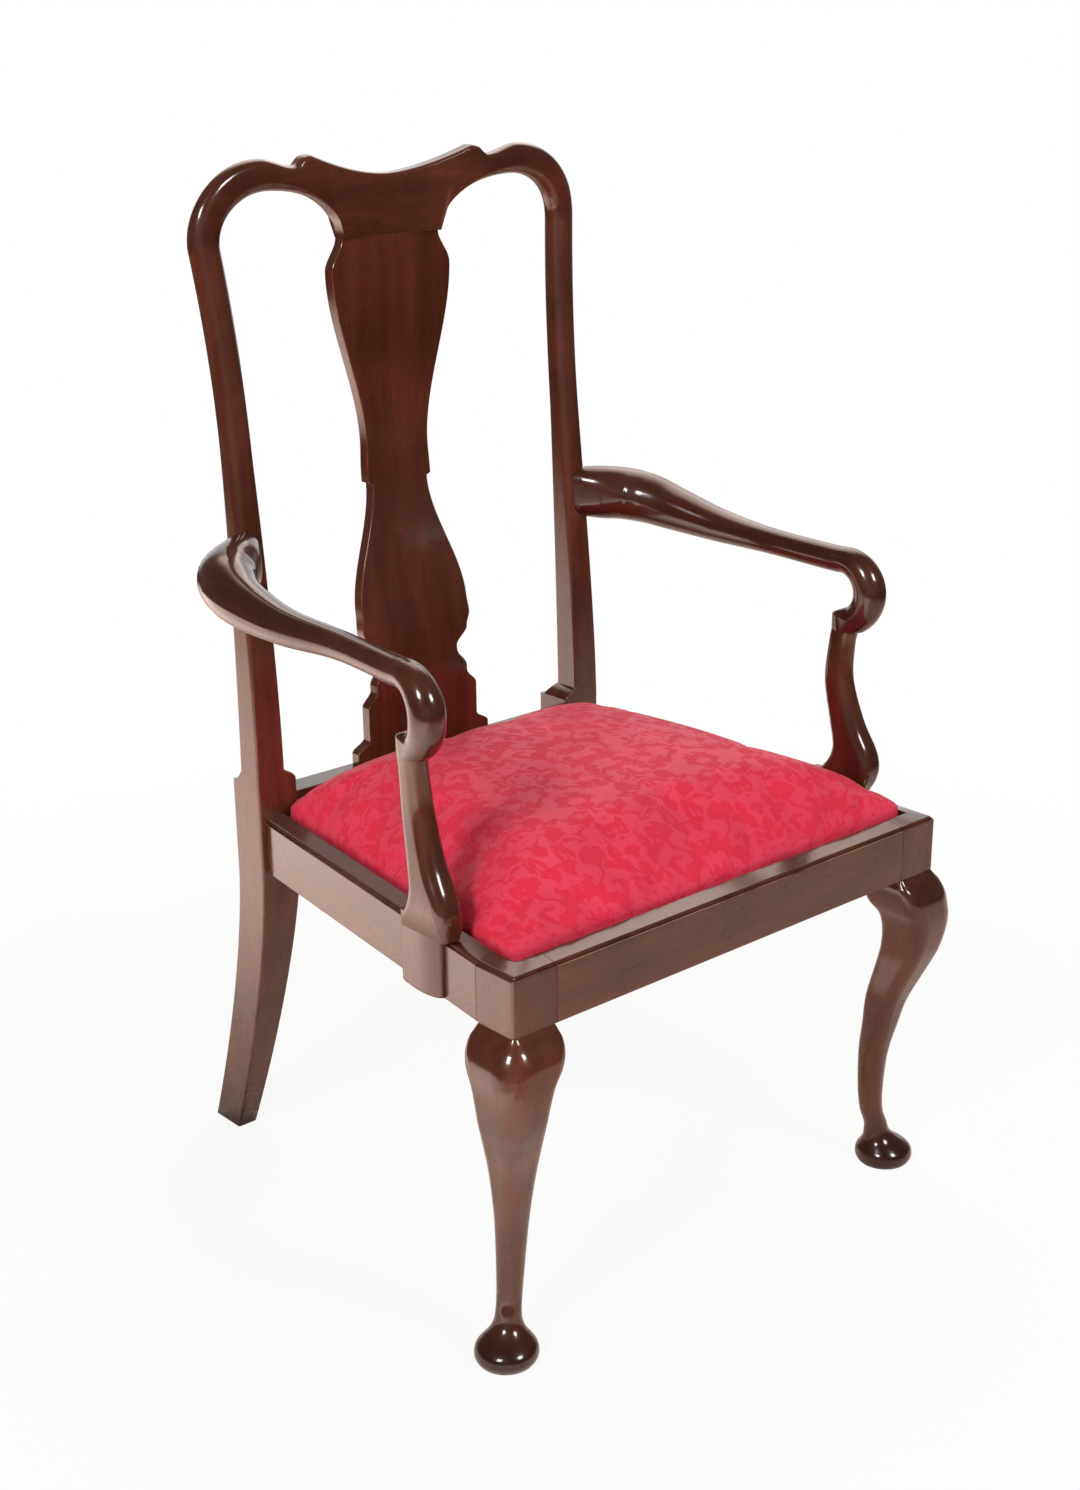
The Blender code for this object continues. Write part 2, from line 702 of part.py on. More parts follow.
def rail_tenon(name, x_range, y_range, grow):
    low = (min(x_range), min(y_range), TENON_LOW)
    high = (max(x_range), max(y_range), TENON_HIGH)
    return tenon_box("%s_%d" % (name, round(grow * 1e6)), low, high, grow)


def front_tenon(side, grow):
    name = "front_rail_tenon_%s" % ("right" if side > 0 else "left")
    near = BLOCK_INNER_X - TENON_LENGTH
    far = BLOCK_INNER_X + TENON_LENGTH
    setback = FRONT_Y + TENON_SETBACK
    return rail_tenon(name, (side * near, side * far), (setback, setback + TENON_THICKNESS), grow)


def side_front_tenon(side, grow):
    name = "side_rail_front_tenon_%s" % ("right" if side > 0 else "left")
    outer = FRONT_WIDTH / 2 - TENON_SETBACK
    y_range = (BLOCK_BACK_Y - TENON_LENGTH, BLOCK_BACK_Y + TENON_LENGTH)
    return rail_tenon(name, (side * outer, side * (outer - TENON_THICKNESS)), y_range, grow)


def side_rear_tenon(side, grow):
    name = "side_rail_rear_tenon_%s" % ("right" if side > 0 else "left")
    middle = REAR_WIDTH / 2 - RAIL_THICKNESS / 2
    x_range = (side * (middle - TENON_THICKNESS / 2), side * (middle + TENON_THICKNESS / 2))
    return rail_tenon(name, x_range, (POST_Y - TENON_LENGTH, POST_Y + 0.85 * TENON_LENGTH), grow)


def rear_tenon(side, grow):
    name = "rear_rail_tenon_%s" % ("right" if side > 0 else "left")
    back = REAR_RAIL_BACK - TENON_SHOULDER
    x_range = (side * (POST_INNER_X - TENON_LENGTH), side * (POST_INNER_X + TENON_LENGTH))
    return rail_tenon(name, x_range, (back - TENON_THICKNESS, back), grow)


def front_rail(well):
    end = BLOCK_INNER_X - FIT
    low = (-end, FRONT_Y, RAIL_BOTTOM)
    high = (end, FRONT_Y + RAIL_THICKNESS, RAIL_TOP)
    rail = add("front_rail", box_mesh("front_rail", low, high), MAHOGANY)
    cut(rail, well)
    fuse(rail, front_tenon(1, 0.0), front_tenon(-1, 0.0))
    return rail


def rear_rail(well):
    end = POST_INNER_X - FIT
    low = (-end, REAR_RAIL_FRONT, RAIL_BOTTOM)
    high = (end, REAR_RAIL_BACK, RAIL_TOP)
    rail = add("rear_rail", box_mesh("rear_rail", low, high), MAHOGANY)
    cut(rail, well)
    fuse(rail, rear_tenon(1, 0.0), rear_tenon(-1, 0.0))
    return rail


def side_rail(side, well):
    """A rail splayed with the seat plan, shouldered square on the leg block and the post."""
    name = "side_rail_right" if side > 0 else "side_rail_left"
    front, rear = BLOCK_BACK_Y + FIT, POST_Y - FIT
    plan = [
        (side * rail_outer_x(front), front),
        (side * rail_outer_x(rear), rear),
        (side * inset_x(rear, RAIL_THICKNESS), rear),
        (side * inset_x(front, RAIL_THICKNESS), front),
    ]
    rail = add(name, prism_mesh(name, plan, RAIL_BOTTOM, RAIL_TOP), MAHOGANY)
    cut(rail, well)
    fuse(rail, side_front_tenon(side, 0.0), side_rear_tenon(side, 0.0))
    return rail


# Arms and supports

ARM_REAR_Z = RAIL_TOP + ARM_REAR_RISE
ARM_FRONT_Z = RAIL_TOP + ARM_FRONT_RISE
ARM_X = FRONT_WIDTH / 2 + ARM_FLARE
CROOK_Y = POST_Y - SEAT_DEPTH * ARM_REACH_SHARE
CROOK_Z = ARM_FRONT_Z - CROOK_RADIUS
SUPPORT_TOP = CROOK_Z - CROOK_RADIUS - 0.005


def arm_stations():
    """(x, y, z, half width, half height) from the stile to the start of the crook."""
    rear_share = stile_share(ARM_REAR_Z)
    rear_x, rear_y = stile_centre_x(rear_share), stile_front_y(rear_share)
    span_x, span_y, drop = ARM_X - rear_x, rear_y - CROOK_Y, ARM_REAR_Z - ARM_FRONT_Z
    half_stile = stile_width(rear_share) / 2
    swell, slim = ARM_SWELL, ARM_WAIST_RADIUS
    plan = [
        (0.10, -0.018, 0.00, half_stile + 0.001, ARM_REAR_HALF_HEIGHT),
        (0.36, 0.035, 0.06, 0.0160, ARM_REAR_HALF_HEIGHT + 0.0012),
        (0.65, 0.080, 0.15, swell * 1.02, ARM_REAR_HALF_HEIGHT + 0.0008),
        (0.84, 0.150, 0.30, swell * 0.97, swell * 0.97),
        (0.95, 0.260, 0.57, 0.0163, 0.0166),
        (0.975, 0.460, 0.84, 0.0124, 0.0124),
        (0.905, 0.700, 0.90, slim, slim),
        (0.945, 0.940, 1.00, slim - 0.0001, slim - 0.0001),
    ]
    return [
        (rear_x + span_x * x, rear_y - span_y * y, ARM_REAR_Z - drop * z, half_x, half_z)
        for x, y, z, half_x, half_z in plan
    ]


def crook_stations():
    """The crook's turn down and back, in the same terms."""
    stations = []
    for turn in spread(0.0, CROOK_SWEEP, 10):
        angle = math.radians(90.0 + turn)
        y = CROOK_Y + CROOK_RADIUS * math.cos(angle)
        z = CROOK_Z + CROOK_RADIUS * math.sin(angle)
        half = ARM_WAIST_RADIUS + (CROOK_THICKNESS - ARM_WAIST_RADIUS) * math.sin(math.radians(min(turn, 180.0)))
        stations.append((ARM_X, y, z, half, half))
    return stations


def arm(side):
    """A shepherd's-crook arm, flared out from the stile and turned down and back at the front."""
    name = "arm_right" if side > 0 else "arm_left"
    path = smooth_stations(arm_stations() + crook_stations()[:1], 2)[:-1] + crook_stations()
    centres = [Vector(station[:3]) for station in path]
    rings = []
    for i, (_, _, _, half_x, half_z) in enumerate(path):
        before, after = centres[max(i - 1, 0)], centres[min(i + 1, len(path) - 1)]
        tangent = (after - before).normalized()
        heading = Vector((tangent.x, tangent.y, 0.0))
        if i == 0 or heading.y > -0.3 * heading.length or centres[i].y < CROOK_Y:
            heading = Vector((0.0, -1.0, 0.0))
        across = heading.normalized().cross(Vector((0, 0, 1)))
        rise = across.cross(tangent).normalized()
        ring = ring_at(centres[i], across, rise, half_x, half_z, max(half_x, half_z))
        rings.append([(side * point.x, point.y, point.z) for point in ring])
    piece = add(name, loft_mesh(name, rings), MAHOGANY)
    cut(piece, stile_face(side), support_seat(side))
    return piece


def stile_face(side):
    """Everything behind the stile's front face, where the arm butts against it."""
    name = "stile_face_%s" % ("right" if side > 0 else "left")
    share = stile_share(ARM_REAR_Z)
    reach = 0.08
    low_y = stile_front_y(stile_share(ARM_REAR_Z - reach))
    high_y = stile_front_y(stile_share(ARM_REAR_Z + reach))
    face = tool(name, box_mesh(name, (-reach, 0.0, -reach), (reach, 2 * reach, reach)))
    face.location = (side * stile_centre_x(share), stile_front_y(share) - FIT, ARM_REAR_Z)
    face.rotation_euler = (-math.atan2(high_y - low_y, 2 * reach), 0.0, 0.0)
    return face


def support_seat(side):
    """Everything under the flat where the crook sits on its support."""
    name = "support_seat_%s" % ("right" if side > 0 else "left")
    reach = 0.03
    low = (side * ARM_X - reach, CROOK_Y - reach, SUPPORT_TOP - reach)
    high = (side * ARM_X + reach, CROOK_Y + reach, SUPPORT_TOP)
    return tool(name, box_mesh(name, low, high))


def support_stations():
    """(height, x, y, half width, half length, corner) from the foot on the rail to the crook."""
    foot_y = CROOK_Y - SUPPORT_LEAN
    foot_half = SUPPORT_FOOT_LENGTH / 2
    rise = SUPPORT_TOP - RAIL_TOP
    top = SUPPORT_TOP_HALF
    foot_x = rail_outer_x(foot_y) - SUPPORT_OVERLAP + top * 1.08
    plan = [
        (0.000, 0.00, 0.22, 1.08, foot_half, 0.45),
        (0.075, 0.06, -0.07, 1.16, foot_half, 0.68),
        (0.160, 0.09, -0.37, 1.20, foot_half * 0.87, 0.91),
        (0.265, 0.11, -0.33, 1.20, foot_half * 0.73, 1.02),
        (0.425, 0.11, 0.15, 1.12, top * 1.48, 1.02),
        (0.680, 0.11, 0.66, 1.03, top * 1.18, 0.91),
        (0.900, 0.36, 0.77, 0.98, top * 1.09, 0.91),
        (1.000, 0.62, 0.74, 1.00, top * 1.11, 0.91),
    ]
    return [
        (RAIL_TOP + FIT + (rise - 2 * FIT) * share, foot_x + x * top, foot_y + y * SUPPORT_LEAN,
         half_x * top, half_y, corner * top)
        for share, x, y, half_x, half_y, corner in plan
    ]


def arm_support(side):
    """A shaped support, notched over the rail, with a lap down the rail's outer face."""
    name = "arm_support_right" if side > 0 else "arm_support_left"
    rings = []
    for height, x, y, half_x, half_y, corner in smooth_stations(support_stations(), 2):
        rings.append(ring_at((side * x, y, height), (1, 0, 0), (0, 1, 0), half_x, half_y, corner))
    support = add(name, loft_mesh(name, rings), MAHOGANY)
    front, rear = lap_range()
    plan = [
        (side * (rail_outer_x(front) + FIT), front),
        (side * (rail_outer_x(front) + LAP_PROUD), front),
        (side * (rail_outer_x(rear) + LAP_PROUD), rear),
        (side * (rail_outer_x(rear) + FIT), rear),
    ]
    lap = tool(name + "_lap", prism_mesh(name + "_lap", plan, RAIL_BOTTOM, RAIL_TOP + 0.010))
    fuse(support, lap)
    return support


def lap_range():
    """Where the support's lap starts and ends along the rail."""
    rear = CROOK_Y - SUPPORT_LEAN + SUPPORT_FOOT_LENGTH / 2 + EDGE_ROUNDING
    return rear - LAP_WIDTH, rear


# Fastenings

def screw_profile(grip, bite, grow):
    """Half a countersunk screw, top to bottom, with its head's top at height 0."""
    head, shank = SCREW_HEAD_RADIUS + grow, SCREW_SHANK_RADIUS + grow
    tip = -(grip + bite + grow)
    return [
        (0.0, grow + 10 * grow),
        (head, grow + 10 * grow),
        (head, -0.0004),
        (shank, -SCREW_HEAD_HEIGHT - grow),
        (shank, tip + shank),
        (0.0, tip),
    ]


def screw(name, head, axis, grip, bite, *held, pocket=0.0):
    """A wood screw whose head is sunk in the first piece it holds, pointing along an axis."""
    turn = Vector((0, 0, -1)).rotation_difference(Vector(axis)).to_euler()
    piece = add(name, turned_mesh(name, screw_profile(grip, bite, 0.0)), STEEL, head)
    piece.rotation_euler = turn
    profile = screw_profile(grip, bite, FIT)
    profile[0] = (0.0, pocket + FIT)
    profile[1] = (profile[1][0], pocket + FIT)
    hole = tool(name + "_hole", turned_mesh(name + "_hole", profile), head)
    hole.rotation_euler = turn
    for other in held:
        cut(other, hole)
    return piece


def dowel(name, centre, *held):
    """A plain round dowel standing upright in two pieces."""
    half = DOWEL_LENGTH / 2
    profile = [(0.0, half), (DOWEL_RADIUS, half), (DOWEL_RADIUS, -half), (0.0, -half)]
    grown = [(0.0, half + FIT), (DOWEL_RADIUS + FIT, half + FIT),
             (DOWEL_RADIUS + FIT, -half - FIT), (0.0, -half - FIT)]
    piece = add(name, turned_mesh(name, profile), BEECH, centre)
    hole = tool(name + "_hole", turned_mesh(name + "_hole", grown), centre)
    for other in held:
        cut(other, hole)
    return piece


# Corner blocks

def corner_block(end, side):
    """A brace glued into a corner of the seat frame, level with the seat ledge."""
    name = "corner_block_%s_%s" % (end, "right" if side > 0 else "left")
    reach = CORNER_BLOCK_REACH
    if end == "front":
        face = FRONT_Y + RAIL_THICKNESS + FIT
        corner_x, corner_y = BLOCK_INNER_X - FIT, BLOCK_BACK_Y + FIT
        far = corner_y + reach * 0.72
        plan = [
            (corner_x, face),
            (corner_x - reach, face),
            (inset_x(far, RAIL_THICKNESS) - FIT, far),
            (inset_x(corner_y, RAIL_THICKNESS) - FIT, corner_y),
            (corner_x, corner_y),
        ]
    else:
        face = REAR_RAIL_FRONT - FIT
        far = face - reach
        plan = [
            (inset_x(face, RAIL_THICKNESS) - FIT, face),
            (inset_x(far, RAIL_THICKNESS) - FIT, far),
            (inset_x(face, RAIL_THICKNESS) - FIT - reach, face),
        ]
    plan = [(side * x, y) for x, y in plan]
    top = LEDGE - FIT
    return add(name, prism_mesh(name, plan, top - CORNER_BLOCK_HEIGHT, top), BEECH)


def block_screws(end, side, block, rail, side_piece):
    """Two screws through a corner block, one into each rail it braces."""
    label = "%s_%s" % (end, "right" if side > 0 else "left")
    middle = LEDGE - CORNER_BLOCK_HEIGHT / 2
    if end == "front":
        face, toward = FRONT_Y + RAIL_THICKNESS, -1.0
        rail_x = BLOCK_INNER_X - CORNER_BLOCK_REACH * 0.45
        side_y = BLOCK_BACK_Y + CORNER_BLOCK_REACH * 0.36
    else:
        face, toward = REAR_RAIL_FRONT, 1.0
        rail_x = inset_x(REAR_RAIL_FRONT, RAIL_THICKNESS) - CORNER_BLOCK_REACH * 0.52
        side_y = REAR_RAIL_FRONT - CORNER_BLOCK_REACH * 0.55
    pocket = CORNER_BLOCK_REACH / 2
    head = (side * rail_x, face - toward * BLOCK_SCREW_GRIP, middle)
    screw("corner_screw_%s_rail" % label, head, (0, toward, 0), BLOCK_SCREW_GRIP, SCREW_BITE, block, rail,
          pocket=pocket)
    outward = Vector((side, side * side * SPLAY, 0.0)).normalized()
    start = Vector((side * inset_x(side_y, RAIL_THICKNESS), side_y, middle)) - outward * BLOCK_SCREW_GRIP
    screw("corner_screw_%s_side" % label, start, outward, BLOCK_SCREW_GRIP, SCREW_BITE, block, side_piece,
          pocket=pocket)


# Slip seat

SEAT_FRONT = WELL_FRONT + SEAT_CLEARANCE
SEAT_REAR = POST_Y - SEAT_CLEARANCE
SEAT_INSET = SEAT_LIP + SEAT_CLEARANCE
HEM_LOW = LEDGE + FIT
FRAME_LOW = HEM_LOW + COVER_THICKNESS + FIT
FRAME_HIGH = FRAME_LOW + SEAT_FRAME_THICKNESS
FRAME_INSET = COVER_THICKNESS + FIT
WEBBING_LOW = FRAME_HIGH + FIT
WEBBING_WAVE = WEBBING_THICKNESS + FIT
HESSIAN_LOW = WEBBING_LOW + WEBBING_WAVE + WEBBING_THICKNESS + FIT
STUFFING_LOW = HESSIAN_LOW + HESSIAN_THICKNESS + FIT
COVER_EDGE = STUFFING_LOW + EDGE_RISE


def add_to_seat(name, mesh, material):
    """A slip-seat piece, whose mesh is made in the chair's frame and moved to the seat's own."""
    obj = add(name, mesh, material, parent=SEAT_ROOT)
    obj.location = (0.0, 0.0, -LEDGE)
    return obj


def frame_plan(inset):
    """The slip frame's tapered plan, set in by a width all round."""
    total = FRAME_INSET + inset
    return seat_plan(SEAT_FRONT + total, SEAT_REAR - total, SEAT_INSET + total)


def seat_frame():
    """Four half-lapped members: the front and rear ones lie under the side ones at the corners."""
    outer, inner = frame_plan(0.0), frame_plan(SEAT_FRAME_WIDTH)
    plan = [(x, y) for x, y, _ in seat_ring(1.0, FRAME_INSET, 0.0)]
    rounding = tool("frame_rounding", prism_mesh("frame_rounding", plan, LEDGE, RAIL_TOP + SEAT_REBATE))
    front, rear = outer[0][1], outer[2][1]
    inner_front, inner_rear = inner[0][1], inner[2][1]
    middle = (FRAME_LOW + FRAME_HIGH) / 2
    far = FRONT_WIDTH

    def band(y_low, y_high):
        return seat_plan(y_low, y_high, SEAT_INSET + FRAME_INSET)

    def upright_cut(name, x_low, x_high, low, high):
        return tool(name, box_mesh(name, (x_low, 2 * FRONT_Y, low), (x_high, 2 * POST_Y, high)))

    side_cutters = []
    for side in (1, -1):
        plan = [
            (side * (inset_x(2 * FRONT_Y, SEAT_INSET + FRAME_INSET + SEAT_FRAME_WIDTH) - FIT), 2 * FRONT_Y),
            (side * far, 2 * FRONT_Y),
            (side * far, 2 * POST_Y),
            (side * (inset_x(2 * POST_Y, SEAT_INSET + FRAME_INSET + SEAT_FRAME_WIDTH) - FIT), 2 * POST_Y),
        ]
        name = "frame_side_lap_%s" % ("right" if side > 0 else "left")
        side_cutters.append(tool(name, prism_mesh(name, plan, middle, FRAME_HIGH + FIT)))
    for name, y_low, y_high in (("seat_frame_front", front, inner_front), ("seat_frame_rear", inner_rear, rear)):
        member = add_to_seat(name, prism_mesh(name, band(y_low, y_high), FRAME_LOW, FRAME_HIGH), BEECH)
        cut(member, *side_cutters)
        combine(member, rounding, "INTERSECT")
    end_cutters = []
    for name, y_low, y_high in (("frame_front_lap", 2 * FRONT_Y, inner_front + FIT),
                                ("frame_rear_lap", inner_rear - FIT, 2 * POST_Y)):
        low, high = (-far, y_low, FRAME_LOW - FIT), (far, y_high, middle + FIT)
        end_cutters.append(tool(name, box_mesh(name, low, high)))
    for side in (1, -1):
        name = "seat_frame_right" if side > 0 else "seat_frame_left"
        inner_inset = SEAT_INSET + FRAME_INSET + SEAT_FRAME_WIDTH
        plan = [
            (side * inset_x(front, SEAT_INSET + FRAME_INSET), front),
            (side * inset_x(rear, SEAT_INSET + FRAME_INSET), rear),
            (side * inset_x(rear, inner_inset), rear),
            (side * inset_x(front, inner_inset), front),
        ]
        member = add_to_seat(name, prism_mesh(name, plan, FRAME_LOW, FRAME_HIGH), BEECH)
        cut(member, *end_cutters)
        combine(member, rounding, "INTERSECT")


def strap(name, start, end, across, crossings, over_first):
    """A webbing strap from start to end that goes over and under the straps it crosses."""
    start, end = Vector(start), Vector(end)
    length = (end - start).length
    along = (end - start).normalized()
    flat = WEBBING_WIDTH / 2 + 0.004
    points = [(0.0, 0.5)]
    for i, place in enumerate(crossings):
        level = 1.0 if (i % 2 == 0) == over_first else 0.0
        points += [(place - flat, level), (place + flat, level)]
    points.append((length, 0.5))
    bm = bmesh.new()
    rows = []
    for distance, level in points:
        middle = start + along * distance
        middle.z = WEBBING_LOW + level * WEBBING_WAVE
        rows.append([bm.verts.new(middle + across * (side * WEBBING_WIDTH / 2)) for side in (-1, 1)])
    for first, second in zip(rows, rows[1:]):
        bm.faces.new((first[0], first[1], second[1], second[0]))
    bm.normal_update()
    if bm.faces[:][0].normal.z < 0:
        bmesh.ops.reverse_faces(bm, faces=bm.faces)
    mesh = bpy.data.meshes.new(name)
    bm.to_mesh(mesh)
    bm.free()
    piece = add_to_seat(name, mesh, JUTE)
    solid = piece.modifiers.new("thickness", "SOLIDIFY")
    solid.thickness = WEBBING_THICKNESS
    solid.offset = 1.0


def webbing():
    """Three straps front to back woven through three across."""
    front, rear = frame_plan(0.010)[0][1], frame_plan(0.010)[2][1]
    inner = frame_plan(SEAT_FRAME_WIDTH)
    depth_span = inner[2][1] - inner[0][1]
    long_x = [place * inner[2][0] * 0.62 for place in (-1.0, 0.0, 1.0)]
    cross_y = [inner[0][1] + depth_span * place for place in (0.17, 0.5, 0.83)]
    if (cross_y[1] - cross_y[0]) < WEBBING_WIDTH:
        raise ValueError("the cross straps are wider than their spacing")
    for i, x in enumerate(long_x):
        strap("webbing_long_%d" % (i + 1), (x, front, 0.0), (x, rear, 0.0), Vector((1, 0, 0)),
              [y - front for y in cross_y], i % 2 == 0)
    for i, y in enumerate(cross_y):
        reach = inset_x(y + WEBBING_WIDTH / 2, SEAT_INSET + FRAME_INSET + 0.010)
        strap("webbing_cross_%d" % (i + 1), (-reach, y, 0.0), (reach, y, 0.0), Vector((0, 1, 0)),
              [x + reach for x in long_x], i % 2 == 1)


def hessian():
    """A flat hessian sheet over the webbing."""
    plan = [(x, y) for x, y, _ in seat_ring(1.0, FRAME_INSET + 0.002, 0.0)]
    top = HESSIAN_LOW + HESSIAN_THICKNESS
    add_to_seat("seat_hessian", prism_mesh("seat_hessian", plan, HESSIAN_LOW, top), JUTE)


SIDE_POINTS = 10
CROWN_SHARES = [0.985, 0.955, 0.915, 0.86, 0.79, 0.70, 0.58, 0.44, 0.28, 0.12]


def seat_ring(share, inset, height):
    """A ring of the seat plan at a share of its size, squarer towards the edge."""
    front, rear = SEAT_FRONT + inset, SEAT_REAR - inset
    middle, half_depth = (front + rear) / 2, (rear - front) / 2
    power = 2.6 + 21.4 * share ** 9
    ring = []
    for side in range(4):
        for step in range(SIDE_POINTS):
            along = -math.cos(math.pi * step / SIDE_POINTS)
            u, v = [(1.0, along), (-along, 1.0), (-1.0, -along), (along, -1.0)][side]
            pull = (abs(u) ** power + abs(v) ** power) ** (-1.0 / power)
            draw = 1.0 - DRAW_IN / half_depth * share * (1.0 - along * along)
            y = middle + v * pull * draw * share * half_depth
            ring.append((u * pull * draw * share * inset_x(y, SEAT_INSET + inset), y, height))
    return ring


def crown_height(share):
    """A plump crown: steep just inside the edge, then nearly level."""
    return COVER_EDGE + CROWN_RISE * (1.0 - share ** 3.2) ** 0.65


def seat_crown(inset, drop):
    """Rings from the seat's upright edge over its crown, set in and lowered."""
    rings = [seat_ring(1.0, inset, COVER_EDGE - 0.0025 - drop)]
    rings += [seat_ring(share, inset, crown_height(share) - drop) for share in CROWN_SHARES]
    return rings


def seat_stuffing():
    """The crowned stuffing, flat on the hessian."""
    inset = COVER_THICKNESS + 2 * FIT
    rings = [seat_ring(1.0, inset + 0.0015, STUFFING_LOW)]
    rings += seat_crown(inset, COVER_THICKNESS + 2 * FIT)
    add_to_seat("seat_stuffing", loft_mesh("seat_stuffing", rings), HAIR)


def seat_cover():
    """The damask cover: a crowned skin turned down the frame's edges and under it."""
    hem_top = HEM_LOW + COVER_THICKNESS
    rings = seat_crown(COVER_THICKNESS, COVER_THICKNESS)[::-1]
    rings.append(seat_ring(1.0, COVER_THICKNESS, hem_top))
    rings.append(seat_ring(1.0, COVER_HEM, hem_top))
    rings.append(seat_ring(1.0, COVER_HEM, HEM_LOW))
    rings.append(seat_ring(1.0, 0.0, HEM_LOW))
    rings += seat_crown(0.0, 0.0)
    add_to_seat("seat_cover", loft_mesh("seat_cover", rings), DAMASK)


# Assembly

def build_frame():
    well = seat_well()
    front, rear = front_rail(well), rear_rail(well)
    splat()
    shoe = splat_shoe()
    crest_rail()
    for side in (1, -1):
        label = "right" if side > 0 else "left"
        leg, post, rail = front_leg(side, well), rear_leg(side), side_rail(side, well)
        cut(leg, front_tenon(side, FIT), side_front_tenon(side, FIT))
        cut(post, side_rear_tenon(side, FIT), rear_tenon(side, FIT))
        piece, support = arm(side), arm_support(side)
        dowel("arm_dowel_%s" % label, (side * ARM_X, CROOK_Y - 0.001, SUPPORT_TOP), piece, support)
        fasten_arm(side, label, post, piece)
        fasten_support(side, label, rail, support)
        block_screws("front", side, corner_block("front", side), front, rail)
        block_screws("rear", side, corner_block("rear", side), rear, rail)
    return shoe


def fasten_arm(side, label, post, piece):
    """A screw from the back of the stile into the arm."""
    share = stile_share(ARM_REAR_Z)
    grip = stile_depth(share) - 0.0006
    x = side * (stile_centre_x(share) + 0.006)
    head = (x, stile_front_y(share) + grip, ARM_REAR_Z)
    screw("arm_screw_%s" % label, head, (0, -1, 0), grip, ARM_SCREW_BITE, post, piece, pocket=0.003)


def fasten_support(side, label, rail, support):
    """Two screws from inside the side rail into the support's lap."""
    front, rear = lap_range()
    outward = Vector((side, SPLAY, 0.0)).normalized()
    height = LEDGE - 0.008
    for place, share in (("front", 0.30), ("rear", 0.75)):
        y = front + (rear - front) * share
        face = Vector((side * inset_x(y, RAIL_THICKNESS), y, height)) + outward * 0.0006
        screw("support_screw_%s_%s" % (label, place), face, outward, RAIL_THICKNESS - 0.0006, LAP_SCREW_BITE,
              rail, support, pocket=0.003)


def build_seat():
    seat_frame()
    webbing()
    hessian()
    seat_stuffing()
    seat_cover()


def centre_on_floor():
    """Moves the whole chair so that its footprint is centred on the origin."""
    bpy.context.view_layer.update()
    graph = bpy.context.evaluated_depsgraph_get()
    depths = []
    for obj in PARTS.objects:
        if obj.type == "MESH":
            evaluated = obj.evaluated_get(graph)
            depths += [(evaluated.matrix_world @ vertex.co).y for vertex in evaluated.data.vertices]
    ROOT.location.y -= (min(depths) + max(depths)) / 2


build_frame()
build_seat()
centre_on_floor()
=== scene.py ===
"""Finished look of a child's open armchair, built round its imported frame.

The file is laid out as an add-on and run as a script. Every piece is in metres and in the frame's
own place: the chair stands on Z = 0, faces -Y and is symmetric in X.
"""

import math

import bmesh
import bpy
import numpy as np
from bpy.props import FloatProperty, FloatVectorProperty, IntProperty, PointerProperty
from mathutils import Matrix, Vector


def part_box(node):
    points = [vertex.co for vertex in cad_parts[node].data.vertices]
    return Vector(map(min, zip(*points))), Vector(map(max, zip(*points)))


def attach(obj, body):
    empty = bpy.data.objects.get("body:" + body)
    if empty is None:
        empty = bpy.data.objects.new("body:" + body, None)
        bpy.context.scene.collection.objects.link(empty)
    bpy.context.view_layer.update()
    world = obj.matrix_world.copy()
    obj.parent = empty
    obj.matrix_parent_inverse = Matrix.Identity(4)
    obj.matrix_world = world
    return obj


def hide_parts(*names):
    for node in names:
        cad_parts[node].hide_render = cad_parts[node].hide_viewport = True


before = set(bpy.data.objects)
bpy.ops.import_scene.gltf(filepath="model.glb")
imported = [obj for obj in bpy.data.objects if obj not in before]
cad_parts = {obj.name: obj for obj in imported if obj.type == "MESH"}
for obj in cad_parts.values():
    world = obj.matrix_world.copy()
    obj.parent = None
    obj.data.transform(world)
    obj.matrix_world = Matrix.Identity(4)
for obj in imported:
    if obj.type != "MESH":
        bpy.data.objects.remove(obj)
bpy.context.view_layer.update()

bl_info = {
    "name": "Child's armchair",
    "version": (1, 0, 0),
    "blender": (4, 5, 0),
    "location": "View3D > Sidebar > Armchair",
    "description": "Polished mahogany, damask seat and stage for a child's open armchair",
    "category": "Object",
}

FRAME_BODY = "chair_frame"
SEAT_BODY = "slip_seat"
SIDES = ((1, "right"), (-1, "left"))

# Seat frame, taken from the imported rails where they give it
FRONT_RAIL_LOW, FRONT_RAIL_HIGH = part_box("front_rail")
RAIL_BOTTOM, RAIL_TOP = FRONT_RAIL_LOW[2], FRONT_RAIL_HIGH[2]
FRONT_Y = FRONT_RAIL_LOW[1]
RAIL_THICKNESS = 0.028
FRONT_WIDTH = 0.396
REAR_WIDTH = 0.316
SEAT_DEPTH = 0.315
SEAT_LIP = 0.015
LEDGE = RAIL_TOP - 0.0206
LEG_BLOCK = 0.035
REAR_RAIL_THICKNESS = 0.038
FIT = 0.0003
WELD = 0.000002
TIGHT = 0.00004
POST_Y = FRONT_Y + SEAT_DEPTH
BLOCK_BACK_Y = FRONT_Y + LEG_BLOCK
BLOCK_INNER_X = FRONT_WIDTH / 2 - LEG_BLOCK
SPLAY = (FRONT_WIDTH - REAR_WIDTH) / 2 / (POST_Y - BLOCK_BACK_Y)
SPLAY_STRETCH = math.hypot(1.0, SPLAY)

